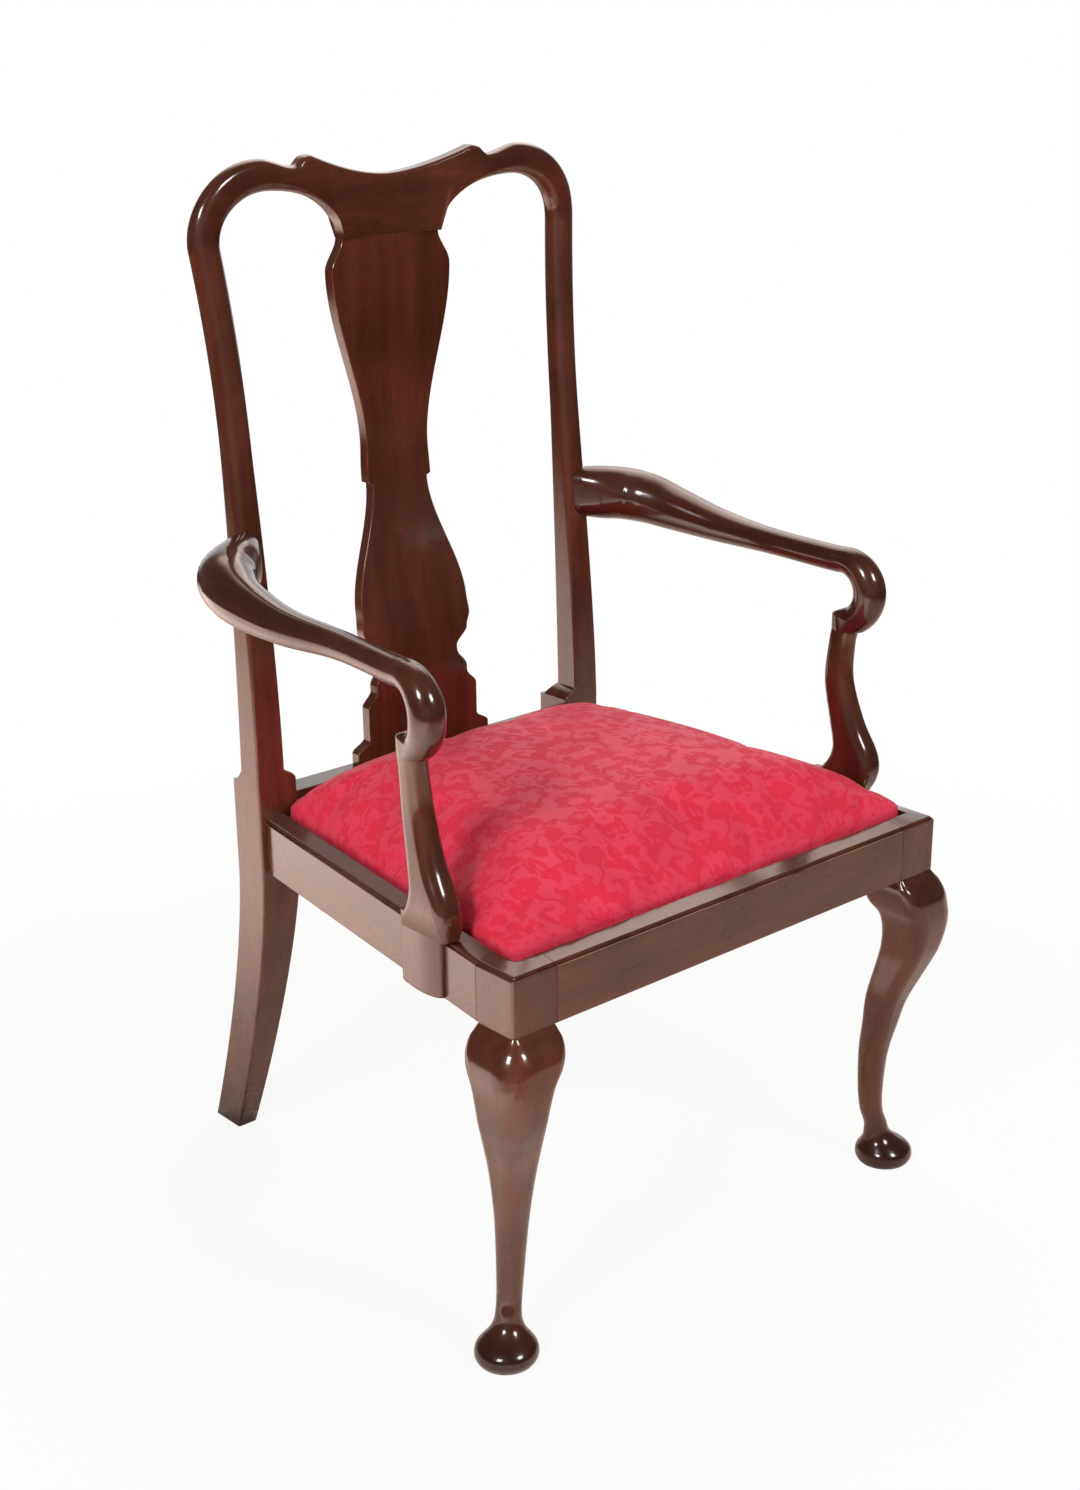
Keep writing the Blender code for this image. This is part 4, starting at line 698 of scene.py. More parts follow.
class ARMCHAIR_OT_back(bpy.types.Operator):
    """Make the crest rail, the vase splat and its shoe"""

    bl_idname = "armchair.back"
    bl_label = "Crest, splat and shoe"

    def execute(self, context):
        polished("crest_rail", self.crest(), "across", 50.0)
        polished("splat", self.splat(), "splat", 30.0)
        new_piece("polished_shoe", new_mesh("shoe", self.shoe()), mahogany("across"), FRAME_BODY,
                  ["splat_shoe"], 25.0)
        return {"FINISHED"}

    def crest(self):
        half = crest_outline()
        mirrored = [((-upper[0], upper[1]), (-lower[0], lower[1])) for upper, lower in half[:-1]]
        rings = []
        for upper, lower in half + mirrored[::-1]:
            across = Vector((upper[0] - lower[0], 0.0, upper[1] - lower[1]))
            x, height = (upper[0] + lower[0]) / 2, (upper[1] + lower[1]) / 2
            depth = crest_depth(x, height)
            out = ease((abs(x) - NECK_HALF) / (EAR_TOP_X - NECK_HALF))
            corner = CREST_CORNER + EAR_ROUNDING * out
            joint = between(JOINT_CORNER, corner, ease((abs(lower[0]) - NECK_HALF + 0.0004) / 0.006))
            ring = ring_at((x, 0.0, height), across.normalized(), (0, 1, 0), across.length / 2, depth / 2,
                           (corner, joint, joint, corner), 8)
            for point in ring:
                share = 0.5 + point.y / depth
                point.y = crest_front_y(point.x, point.z) + crest_depth(point.x, point.z) * share
                point.z += CREST_JOINT + TIGHT
            rings.append(ring)
        return skin(rings)

    def splat(self):
        rings = []
        for share, half in splat_stations():
            centre = (0.0, splat_front_y(share) + SPLAT_THICKNESS / 2, SPLAT_BOTTOM + SPLAT_HEIGHT * share)
            rings.append(ring_at(centre, (1, 0, 0), (0, 1, 0), half, SPLAT_THICKNESS / 2, SPLAT_ARRIS, 4))
        return skin(rings)

    def shoe(self):
        """A moulding along the rear rail, hollowed up to the splat at its front."""
        rise, low, soft = SHOE_TOP - RAIL_TOP - FIT, RAIL_TOP + FIT, 0.0012
        section = [(0.0, low), (0.0, low + 0.0022)]
        section += arc((0.0, low + rise * 0.8), (0.0045, rise * 0.5), 270.0, 360.0, 6)[1:]
        section += arc((0.0060, SHOE_TOP - soft), (soft, soft), 180.0, 90.0, 4)
        section += arc((SHOE_DEPTH - soft, SHOE_TOP - soft), (soft, soft), 90.0, 0.0, 4)
        return moulding(section + [(SHOE_DEPTH, low)], SHOE_FRONT, POST_INNER_X - FIT)


# Arms

def arm_path():
    """(x, y, z, half width, half height, corner) from inside the stile to the end of the crook."""
    rear = stile_share(ARM_REAR_Z)
    rear_x, rear_y = stile_centre_x(rear), stile_front_y(rear)
    span_x, span_y, drop = ARM_X - rear_x, rear_y - CROOK_Y, ARM_REAR_Z - ARM_FRONT_Z
    # Shares of the way out, forward and down, then half the width and half the height
    plan = [
        (0.10, -0.018, 0.00, stile_width(rear) / 2 + 0.001, 0.0190),
        (0.36, 0.035, 0.06, 0.0160, 0.0202),
        (0.65, 0.080, 0.15, 0.0202, 0.0198),
        (0.84, 0.150, 0.30, 0.0192, 0.0192),
        (0.95, 0.260, 0.57, 0.0163, 0.0166),
        (0.975, 0.460, 0.84, 0.0124, 0.0124),
        (0.905, 0.700, 0.90, ARM_WAIST, ARM_WAIST),
        (0.945, 0.940, 1.00, ARM_WAIST - 0.0001, ARM_WAIST - 0.0001),
    ]
    path = [
        (rear_x + span_x * x, rear_y - span_y * y, ARM_REAR_Z - drop * z, half_x, half_z,
         max(half_x, half_z))
        for x, y, z, half_x, half_z in plan
    ]
    crook = []
    for turn in spread(0.0, CROOK_SWEEP, 34):
        y, z = arc((CROOK_Y, CROOK_Z), (CROOK_RADIUS, CROOK_RADIUS), 90.0 + turn, 90.0 + turn, 2)[0]
        half = between(ARM_WAIST, CROOK_THICKNESS, math.sin(math.radians(turn)))
        inward = CROOK_DRAW * ease((turn - 90.0) / (CROOK_SWEEP - 90.0))
        inward += CROOK_SET * (1.0 - math.sin(math.radians(90.0 * min(turn / 80.0, 1.0))))
        squared = ease((turn - 140.0) / (CROOK_SWEEP - 140.0))
        crook.append((ARM_X - inward, y, z, half, half, between(half, CROOK_END_CORNER, squared)))
    return smooth_stations(path + crook[:1], 8)[:-1] + crook + crook_tail(crook[-1][0])


def crook_tail(start_x):
    """The last stations of the crook, which round its end to the back of the support."""
    _, x, y, half_x, half_y, corner = support_stations()[-1]
    height, tail = CROOK_Z - CROOK_RADIUS, []
    for share, half_z in [(0.45, 0.0087), (0.68, 0.0079), (0.85, 0.0071), (0.96, 0.0064)]:
        past = max(share * half_y - (half_y - corner), 0.0)
        half = half_x - corner + math.sqrt(corner ** 2 - past ** 2)
        tail.append((between(start_x, x, share), y + share * half_y, height, half, half_z, TAIL_CORNER))
    return tail


def crook_arm(side):
    path = arm_path()
    centres = [Vector(station[:3]) for station in path]
    rings = []
    for i, (_, _, _, half_x, half_z, corner) in enumerate(path):
        before, after = centres[max(i - 1, 0)], centres[min(i + 1, len(path) - 1)]
        tangent = (after - before).normalized()
        forward = Vector((0.0, -1.0, 0.0))
        heading = Vector((tangent.x, tangent.y, 0.0))
        if i == 0 or heading.y > -0.3 * heading.length:
            heading = forward
        elif centres[i].y < CROOK_Y:
            turned = ease((CROOK_Y - centres[i].y) / (0.8 * CROOK_RADIUS))
            heading = heading.normalized().lerp(forward, turned)
        across = heading.normalized().cross(Vector((0, 0, 1)))
        rise = across.cross(tangent).normalized()
        rings.append(ring_at(centres[i], across, rise, half_x, half_z, corner, 9))
    bm = skin(rings, side)
    bmesh.ops.recalc_face_normals(bm, faces=bm.faces)
    reach = 0.08
    below, level, above = [stile_front_y(stile_share(ARM_REAR_Z + step)) for step in (-reach, 0.0, reach)]
    rake = math.atan2(above - below, 2 * reach)
    face = Vector((0.0, level - FIT, ARM_REAR_Z))
    trim(bm, face, Vector((0.0, math.cos(rake), -math.sin(rake))))
    trim(bm, Vector((0.0, 0.0, SUPPORT_TOP)), Vector((0.0, 0.0, -1.0)))
    return bm


def support_stations():
    """(height, x, y, half width, half length, corner) from the foot on the rail to the crook."""
    foot_y = CROOK_Y - SUPPORT_LEAN
    top = SUPPORT_TOP_HALF
    foot_x = rail_outer_x(foot_y) - 0.0055 + top * 1.08
    rise = SUPPORT_TOP - RAIL_TOP - 2 * FIT
    # Share of the rise, shifts in X and Y, half the width, half the length, and corner
    plan = [
        (0.000, -0.26, 0.22, 0.82, SUPPORT_FOOT_HALF, 0.40),
        (0.075, -0.05, -0.07, 1.06, SUPPORT_FOOT_HALF, 0.68),
        (0.160, 0.09, -0.37, 1.20, SUPPORT_FOOT_HALF * 0.87, 0.91),
        (0.265, 0.11, -0.33, 1.20, SUPPORT_FOOT_HALF * 0.73, 1.02),
        (0.425, 0.00, 0.19, 1.12, top * 1.48, 1.02),
        (0.680, -0.13, 0.77, 1.03, top * 1.18, 0.91),
        (0.900, 0.09, 0.81, 0.98, top * 1.09, 0.91),
        (1.000, 0.28, 0.74, 1.00, top * 1.11, 0.91),
    ]
    return [
        (RAIL_TOP + FIT + rise * share, foot_x + x * top, foot_y + y * SUPPORT_LEAN, half_x * top, half_y,
         corner * top)
        for share, x, y, half_x, half_y, corner in plan
    ]


def arm_support(side):
    """A shaped support over a lap, with rounded uprights, down the rail's outer face."""
    rings = []
    for height, x, y, half_x, half_y, corner in smooth_stations(support_stations(), 8):
        rings.append(ring_at((x, y, height), (1, 0, 0), (0, 1, 0), half_x, half_y, corner, 9))
    front = LAP_REAR - LAP_WIDTH
    rear = LAP_REAR + LAP_SPREAD
    soft, low, high = LAP_ARRIS, RAIL_BOTTOM, RAIL_TOP + 0.008
    outline = arc((front + LAP_TURN, FIT), (LAP_TURN, LAP_PROUD - FIT), 180.0, 90.0, 12)
    outline += arc((rear - soft, LAP_PROUD - soft), (soft, soft), 90.0, 0.0, 5) + [(rear, FIT)]
    levels = [(low, LAP_TOE), (low + 0.0007, 0.0007), (low + LAP_TOE, 0.0), (high, 0.0)]
    middle = (front + rear) / 2
    lap = []
    for height, draw in levels:
        ring = []
        for y, proud in outline:
            y += math.copysign(min(draw, abs(middle - y)), middle - y)
            ring.append((rail_outer_x(y) + max(proud - draw, FIT), y, height))
        lap.append(ring)
    return combined(skin(rings, side), skin(lap, side), "UNION")


class ARMCHAIR_OT_arms(bpy.types.Operator):
    """Make the crook arms and their supports"""

    bl_idname = "armchair.arms"
    bl_label = "Arms and supports"

    def execute(self, context):
        for side, label in SIDES:
            polished("arm_" + label, crook_arm(side), "arm", 45.0)
            polished("arm_support_" + label, arm_support(side), "upright", 35.0)
        return {"FINISHED"}


# Slip seat

def seat_point(u, v, inset):
    """A point of the seat plan at u, v from -1 to 1, squarer towards the edge."""
    share = max(abs(u), abs(v))
    front, rear = SEAT_FRONT + inset, SEAT_REAR - inset
    middle, half_depth = (front + rear) / 2, (rear - front) / 2
    if share < 1e-9:
        return 0.0, middle, share
    power = between(*PLAN_SQUARENESS, share ** 5)
    side_u, side_v = u / share, v / share
    pull = (abs(side_u) ** power + abs(side_v) ** power) ** (-1.0 / power)
    along = side_v if abs(side_u) >= abs(side_v) else side_u
    draw = 1.0 - SIDE_BOW / half_depth * share * (1.0 - along * along)
    y = middle + side_v * pull * draw * share * half_depth
    x = side_u * pull * draw * share * inset_x(y, SEAT_INSET + inset)
    return x, y, share


def crown_height(share, rise):
    return COVER_EDGE + rise * (1.0 - share ** CROWN_FULLNESS) ** CROWN_SHOULDER


PAD_STEPS = 64
SWELL_FRAMES, SWELL_REACH = 20, 0.007


def pad_levels():
    """(inset, height) of the rings from the crown's edge down the side, under the frame and back."""
    hem_top = HEM_LOW + COVER_THICKNESS
    return [
        (0.0, COVER_EDGE - 0.0025), (0.0, COVER_EDGE - 0.008), (0.0, HEM_LOW + 0.0035),
        (0.0004, HEM_LOW + 0.0012), (0.0014, HEM_LOW + 0.0002), (0.004, HEM_LOW), (COVER_HEM, HEM_LOW),
        (COVER_HEM, hem_top), (0.004, hem_top), (COVER_THICKNESS, hem_top + 0.001),
        (COVER_THICKNESS, STUFFING_LOW - 0.001), (0.003, STUFFING_LOW),
    ]


def even_steps(count):
    """Places from -1 to 1, closer together towards both ends."""
    places = np.linspace(-1.0, 1.0, count + 1)
    return np.sign(places) * (1.0 - (1.0 - np.abs(places)) ** 1.45)


def pad_mesh(rise):
    """The covered pad: a grid over the crown, then rings down and under, with flat cloth lengths as UV."""
    bm = bmesh.new()
    layer = bm.loops.layers.uv.new("cloth")
    steps = even_steps(PAD_STEPS)
    flat, grid = {}, []
    lengths = crown_lengths(rise)
    for v in steps:
        row = []
        for u in steps:
            x, y, share = seat_point(u, v, 0.0)
            vert = bm.verts.new((x, y, crown_height(share, rise)))
            stretch = np.interp(share, lengths[0], lengths[1])
            flat[vert] = (x * stretch, (y - (SEAT_FRONT + SEAT_REAR) / 2) * stretch)
            row.append(vert)
        grid.append(row)
    count = len(steps)
    quads(bm, grid)
    rim = [(i, 0) for i in range(count - 1)] + [(count - 1, j) for j in range(count - 1)]
    rim += [(i, count - 1) for i in range(count - 1, 0, -1)] + [(0, j) for j in range(count - 1, 0, -1)]
    last = [grid[j][i] for i, j in rim]
    distance, before = 0.0, (0.0, COVER_EDGE)
    for inset, height in pad_levels():
        distance += math.hypot(inset - before[0], height - before[1])
        before = (inset, height)
        ring = []
        for i, j in rim:
            x, y, _ = seat_point(steps[i], steps[j], inset)
            vert = bm.verts.new((x, y, height))
            edge = flat[grid[j][i]]
            grow = 1.0 + distance / math.hypot(*edge)
            flat[vert] = (edge[0] * grow, edge[1] * grow)
            ring.append(vert)
        for i in range(len(ring)):
            j = (i + 1) % len(ring)
            bm.faces.new((last[i], ring[i], ring[j], last[j]))
        last = ring
    under = dict(zip(rim, last))
    for j in range(1, count - 1):
        for i in range(1, count - 1):
            x, y, _ = seat_point(steps[i], steps[j], pad_levels()[-1][0])
            under[i, j] = bm.verts.new((x, y, STUFFING_LOW))
            flat[under[i, j]] = (x, y)
    for j in range(count - 1):
        for i in range(count - 1):
            bm.faces.new((under[i, j], under[i, j + 1], under[i + 1, j + 1], under[i + 1, j]))
    for face in bm.faces:
        for loop in face.loops:
            loop[layer].uv = flat[loop.vert]
    bmesh.ops.recalc_face_normals(bm, faces=bm.faces)
    return plain_mesh("damask_pad", bm)


def crown_lengths(rise):
    """How much longer the cloth is than its plan, from the centre out to each share."""
    shares = np.linspace(0.0, 1.0, 201)
    half = (SEAT_REAR - SEAT_FRONT) / 2
    steps = np.hypot(np.diff(shares) * half, np.diff(crown_height(shares, rise)))
    run = np.concatenate([[0.0], np.cumsum(steps)])
    return shares, np.concatenate([[1.0], run[1:] / (shares[1:] * half)])


def swell(obj, rise):
    """Blows the crown up as cloth, its sides and hem held, and keeps every point near its start."""
    start = np.array([vert.co for vert in obj.data.vertices])
    hold = obj.vertex_groups.new(name="held")
    for vert in obj.data.vertices:
        over = (vert.co.z - COVER_EDGE) / rise
        hold.add([vert.index], 1.0 if over < 0.02 else max(0.0, 0.35 - over * 0.9), "REPLACE")
    cloth = obj.modifiers.new("cloth", "CLOTH")
    settings = {
        "quality": 6, "mass": 0.35, "tension_stiffness": 18.0, "compression_stiffness": 18.0,
        "shear_stiffness": 8.0, "bending_stiffness": 0.6, "use_pressure": True,
        "uniform_pressure_force": 4.0, "vertex_group_mass": "held", "shrink_min": -0.02,
    }
    for name, value in settings.items():
        setattr(cloth.settings, name, value)
    cloth.settings.effector_weights.gravity = 0.0
    cloth.collision_settings.use_collision = False
    scene = bpy.context.scene
    for times in (scene, cloth.point_cache):
        times.frame_start, times.frame_end = 1, SWELL_FRAMES
    for step in range(1, SWELL_FRAMES + 1):
        scene.frame_set(step)
    graph = bpy.context.evaluated_depsgraph_get()
    blown = bpy.data.meshes.new_from_object(obj.evaluated_get(graph))
    moved = np.array([vert.co for vert in blown.vertices]) - start
    bpy.data.meshes.remove(blown)
    obj.modifiers.remove(cloth)
    obj.vertex_groups.remove(hold)
    scene.frame_set(1)
    far = np.linalg.norm(moved, axis=1, keepdims=True)
    settled = start + moved * np.minimum(1.0, SWELL_REACH / np.maximum(far, 1e-9))
    obj.data.vertices.foreach_set("co", settled.ravel())
    obj.data.update()


# Place, length, width, turn in degrees and depth of each dent
DENTS = [
    (-0.105, FRONT_Y + 0.110, 0.030, 0.060, -35.0, 0.0014),
    (-0.060, FRONT_Y + 0.135, 0.075, 0.030, 8.0, 0.0016),
    (0.055, FRONT_Y + 0.085, 0.090, 0.045, -12.0, 0.0014),
    (0.020, FRONT_Y + 0.205, 0.070, 0.035, 15.0, 0.0012),
]


def press(obj):
    """Thins the corners and softens the crown with the shallow hollows of a seat that has been sat on."""
    places = np.array([vert.co for vert in obj.data.vertices])
    across = np.abs(places[:, 0]) / inset_x(places[:, 1], SEAT_INSET)
    along = np.abs(2 * places[:, 1] - SEAT_FRONT - SEAT_REAR) / (SEAT_REAR - SEAT_FRONT)
    corner = np.clip(across * along, 0.0, 1.0) ** 4
    places[:, 2] -= CORNER_THINNING * corner * np.maximum(places[:, 2] - COVER_EDGE, 0.0)
    crown = np.clip((places[:, 2] - COVER_EDGE) / CROWN_FADE, 0.0, 1.0)
    for x, y, length, width, angle, depth in DENTS:
        turn = math.radians(angle)
        along = (places[:, 0] - x) * math.cos(turn) + (places[:, 1] - y) * math.sin(turn)
        aside = -(places[:, 0] - x) * math.sin(turn) + (places[:, 1] - y) * math.cos(turn)
        places[:, 2] -= crown * depth * np.exp(-(along / length) ** 2 - (aside / width) ** 2)
    obj.data.vertices.foreach_set("co", places.ravel())
    obj.data.update()


class ARMCHAIR_OT_damask_pad(bpy.types.Operator):
    """Make the damask-covered pad of the slip seat"""

    bl_idname = "armchair.damask_pad"
    bl_label = "Damask pad"

    def execute(self, context):
        rise = context.scene.armchair_seat.crown - PRESSURE_RISE
        obj = new_piece("damask_pad", pad_mesh(rise), damask(), SEAT_BODY,
                        ["seat_cover", "seat_stuffing"], 60.0)
        obj.modifiers.clear()
        swell(obj, rise)
        press(obj)
        smooth = obj.modifiers.new("soften", "SUBSURF")
        smooth.levels = smooth.render_levels = 1
        return {"FINISHED"}


# Node trees

class Nodes:
    """Adds nodes to a tree. An input takes a socket, a node for its first output, or a value."""

    def __init__(self, tree):
        self.tree = tree

    def wire(self, sources, sockets):
        for source, socket in zip(sources, sockets):
            if isinstance(source, bpy.types.Node):
                source = source.outputs[0]
            if isinstance(source, bpy.types.NodeSocket):
                self.tree.links.new(source, socket)
            else:
                socket.default_value = source

    def feed(self, target, **inputs):
        """Wires a node's inputs by name, with an underscore for each space."""
        self.wire(inputs.values(), [target.inputs[name.replace("_", " ")] for name in inputs])
        return target

    def add(self, kind, settings=None, **inputs):
        made = self.tree.nodes.new(kind)
        for name, value in (settings or {}).items():
            setattr(made, name, value)
        return self.feed(made, **inputs)

    def result(self, kind, settings, *values):
        """The first output of a node whose inputs are wired in order, passing over those out of use."""
        made = self.add(kind, settings)
        self.wire(values, [socket for socket in made.inputs if socket.enabled])
        return next(socket for socket in made.outputs if socket.enabled)

    def math(self, operation, *values):
        return self.result("ShaderNodeMath", {"operation": operation}, *values)

    def vector(self, operation, *values):
        return self.result("ShaderNodeVectorMath", {"operation": operation}, *values)

    def mix(self, share, first, second, blend="MIX"):
        settings = {"data_type": "RGBA", "blend_type": blend}
        return self.result("ShaderNodeMix", settings, share, first, second)

    def ramp(self, value, low, high, start=0.0, end=1.0):
        """Goes smoothly from start to end as the value goes from low to high."""
        settings = {"interpolation_type": "SMOOTHSTEP"}
        return self.result("ShaderNodeMapRange", settings, value, low, high, start, end)

    def noise(self, vector, scale, detail, **more):
        return self.add("ShaderNodeTexNoise", Vector=vector, Scale=scale, Detail=detail, **more)

    def bump(self, strength, distance, height):
        return self.add("ShaderNodeBump", Strength=strength, Distance=distance, Height=height)

    def place(self, kind="Object"):
        return self.add("ShaderNodeTexCoord").outputs[kind]

    def stored(self, name):
        return self.add("ShaderNodeAttribute", {"attribute_name": name}).outputs["Fac"]

    def split(self, vector):
        return self.add("ShaderNodeSeparateXYZ", Vector=vector).outputs

    def join(self, **parts):
        return self.add("ShaderNodeCombineXYZ", **parts)

    def group(self, tree, **inputs):
        return self.add("ShaderNodeGroup", {"node_tree": tree}, **inputs).outputs

    def surface(self, kind, *values):
        """Joins shaders into what the output shows."""
        out = next(node for node in self.tree.nodes if node.bl_idname.startswith("ShaderNodeOutput"))
        self.feed(out, Surface=self.result(kind, {}, *values))


def new_tree(kind, name, inputs, outputs):
    """The nodes of an empty tree with named sockets, what it is given, and the node at its end."""
    tree = bpy.data.node_groups.new(name, kind + "NodeTree")
    for way, sockets in (("INPUT", inputs), ("OUTPUT", outputs)):
        for socket, sort in sockets.items():
            label = socket.replace("_", " ")
            tree.interface.new_socket(label, in_out=way, socket_type="NodeSocket" + sort)
    nodes = Nodes(tree)
    return nodes, nodes.add("NodeGroupInput").outputs, nodes.add("NodeGroupOutput")


# Pieces that repeat, made with geometry nodes

def shape_tree(name, **inputs):
    """An empty geometry tree with its own inputs between the geometry and the material."""
    geometry = {"Geometry": "Geometry"}
    return new_tree("Geometry", name, {**geometry, **inputs, "Material": "Material"}, geometry)


def end_tree(nodes, geometry, given, put):
    """Realizes the instances and sets their material, as the last steps of a tree."""
    real = nodes.add("GeometryNodeRealizeInstances", Geometry=geometry)
    dressed = nodes.add("GeometryNodeSetMaterial", Geometry=real, Material=given["Material"])
    nodes.feed(put, Geometry=dressed)
    return nodes.tree


def grown_mesh(name, mesh, tree, values):
    """The plain mesh that a tree makes from a starting mesh."""
    obj = new_object(name, mesh)
    modifier = obj.modifiers.new("grow", "NODES")
    modifier.node_group = tree
    for item in tree.interface.items_tree:
        if item.in_out == "INPUT" and item.name in values:
            modifier[item.identifier] = values[item.name]
    graph = bpy.context.evaluated_depsgraph_get()
    grown = bpy.data.meshes.new_from_object(obj.evaluated_get(graph))
    obj.modifiers.remove(modifier)
    bpy.data.objects.remove(obj, do_unlink=True)
    bpy.data.meshes.remove(mesh)
    if not grown.polygons:
        raise RuntimeError("%s grew no faces" % name)
    return grown


def screw_tree():
    """Countersunk wood screws with slotted heads, one at each point along its axis attribute."""
    nodes, given, put = shape_tree("wood_screws", Head_Radius="Float", Head_Height="Float",
                                   Shank_Radius="Float", Slot_Width="Float")
    head = nodes.add("GeometryNodeMeshCone", Vertices=28, Radius_Top=given["Shank Radius"],
                     Radius_Bottom=given["Head Radius"], Depth=given["Head Height"])
    slot = nodes.add("GeometryNodeMeshCube", Size=nodes.join(X=0.02, Y=given["Slot Width"], Z=0.0020))
    cut = nodes.result("GeometryNodeMeshBoolean", {"operation": "DIFFERENCE"}, head, slot)
    shank = nodes.add("GeometryNodeMeshCylinder", Vertices=20, Radius=given["Shank Radius"], Depth=1.0)
    lowered = nodes.add("GeometryNodeTransform", Geometry=shank, Translation=(0.0, 0.0, 0.5))
    axis, length = [
        nodes.add("GeometryNodeInputNamedAttribute", {"data_type": kind}, Name=name)
        for name, kind in (("axis", "FLOAT_VECTOR"), ("length", "FLOAT"))
    ]
    turn = nodes.add("FunctionNodeAlignRotationToVector", {"axis": "Z"}, Vector=axis)
    reach = nodes.join(X=1.0, Y=1.0, Z=length)
    both = nodes.add("GeometryNodeJoinGeometry")
    for shape, scale in ((cut, (1.0, 1.0, 1.0)), (lowered, reach)):
        placed = nodes.add("GeometryNodeInstanceOnPoints", Points=given["Geometry"], Instance=shape,
                           Rotation=turn, Scale=scale)
        nodes.feed(both, Geometry=placed)
    return end_tree(nodes, both, given, put)


SCREW_GRIP, SCREW_BITE, SCREW_SINK = 0.010, 0.013, 0.0006
ARM_SCREW_ASIDE, ARM_SCREW_BITE = 0.006, 0.008
SUPPORT_SCREW_DROP, SUPPORT_SCREW_BITE = 0.008, 0.0039
BRACE_REACH = 0.046
BRACE_HEIGHT = 0.020


def screw_places():
    """(node, head, axis, length) of every screw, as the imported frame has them."""
    places = []
    rear_face = REAR_RAIL_BACK - REAR_RAIL_THICKNESS
    share = stile_share(ARM_REAR_Z)
    middle = LEDGE - BRACE_HEIGHT / 2
    for side, label in SIDES:
        grip = stile_depth(share) - SCREW_SINK
        x = side * (stile_centre_x(share) + ARM_SCREW_ASIDE)
        places.append(("arm_screw_%s" % label, (x, stile_front_y(share) + grip, ARM_REAR_Z), (0, -1, 0),
                       grip + ARM_SCREW_BITE))
        outward = Vector((side, SPLAY, 0.0)).normalized()
        for place, part in (("front", 0.30), ("rear", 0.75)):
            y = LAP_REAR - LAP_WIDTH * (1.0 - part)
            head = Vector((side * inset_x(y, RAIL_THICKNESS), y, LEDGE - SUPPORT_SCREW_DROP))
            places.append(("support_screw_%s_%s" % (label, place), head + outward * SCREW_SINK, outward,
                           RAIL_THICKNESS + SUPPORT_SCREW_BITE))
        corners = (
            ("front", FRONT_Y + RAIL_THICKNESS, -1, BLOCK_INNER_X - BRACE_REACH * 0.45,
             BLOCK_BACK_Y + BRACE_REACH * 0.36),
            ("rear", rear_face, 1, inset_x(rear_face, RAIL_THICKNESS) - BRACE_REACH * 0.52,
             rear_face - BRACE_REACH * 0.55))
        for end, face, toward, rail_x, side_y in corners:
            name = "corner_screw_%s_%s" % (end, label)
            head = (side * rail_x, face - toward * SCREW_GRIP, middle)
            places.append((name + "_rail", head, (0, toward, 0), SCREW_GRIP + SCREW_BITE))
            head = Vector((side * inset_x(side_y, RAIL_THICKNESS), side_y, middle)) - outward * SCREW_GRIP
            places.append((name + "_side", head, outward, SCREW_GRIP + SCREW_BITE))
    return places


class ARMCHAIR_OT_screws(bpy.types.Operator):
    """Make the slotted screws of the arms, supports and corner blocks"""

    bl_idname = "armchair.screws"
    bl_label = "Screws"

    def execute(self, context):
        places = screw_places()
        points = bpy.data.meshes.new("screw_points")
        points.from_pydata([tuple(head) for _, head, _, _ in places], [], [])
        points.attributes.new("axis", "FLOAT_VECTOR", "POINT")
        points.attributes.new("length", "FLOAT", "POINT")
        for i, (_, _, direction, reach) in enumerate(places):
            points.attributes["axis"].data[i].vector = direction
            points.attributes["length"].data[i].value = reach
        mesh = grown_mesh("screws", points, screw_tree(), {
            "Head Radius": 0.0035, "Head Height": 0.0022, "Shank Radius": 0.0017, "Slot Width": 0.0009,
            "Material": tarnished_steel()})
        new_piece("wood_screws", mesh, tarnished_steel(), FRAME_BODY,
                  [name for name, _, _, _ in places])
        return {"FINISHED"}


def tack_tree():
    """Domed tacks spaced evenly along each edge of a mesh, heads down."""
    nodes, given, put = shape_tree("tacks", Count="Int", Head_Radius="Float", Head_Rise="Float")
    line = nodes.add("GeometryNodeMeshToCurve", Mesh=given["Geometry"])
    spaced = nodes.add("GeometryNodeResampleCurve", Curve=line, Count=given["Count"])
    dome = nodes.add("GeometryNodeMeshUVSphere", Segments=12, Rings=8, Radius=1.0)
    size = nodes.join(X=given["Head Radius"], Y=given["Head Radius"], Z=given["Head Rise"])
    heads = nodes.add("GeometryNodeInstanceOnPoints", Points=spaced, Instance=dome, Scale=size)
    return end_tree(nodes, heads, given, put)


class ARMCHAIR_OT_tacks(bpy.types.Operator):
    """Tack the hem of the cover to the underside of the slip frame"""

    bl_idname = "armchair.tacks"
    bl_label = "Tacks"

    def execute(self, context):
        inset, end_margin, side_margin = 0.0150, 0.063, 0.075
        front, rear = SEAT_FRONT + inset, SEAT_REAR - inset
        ends = []
        for y in (front, rear):
            reach = inset_x(y, SEAT_INSET + inset) - end_margin
            ends += [(-reach, y, HEM_LOW), (reach, y, HEM_LOW)]
        for side, _ in SIDES:
            for y in (front + side_margin, rear - side_margin):
                ends.append((side * inset_x(y, SEAT_INSET + inset), y, HEM_LOW))
        lines = bpy.data.meshes.new("tack_lines")
        lines.from_pydata(ends, [(i, i + 1) for i in range(0, len(ends), 2)], [])
        mesh = grown_mesh("tacks", lines, tack_tree(), {
            "Count": context.scene.armchair_seat.tacks, "Head Radius": 0.0026, "Head Rise": 0.0009,
            "Material": tarnished_steel()})
        new_piece("hem_tacks", mesh, tarnished_steel(), SEAT_BODY)
        return {"FINISHED"}


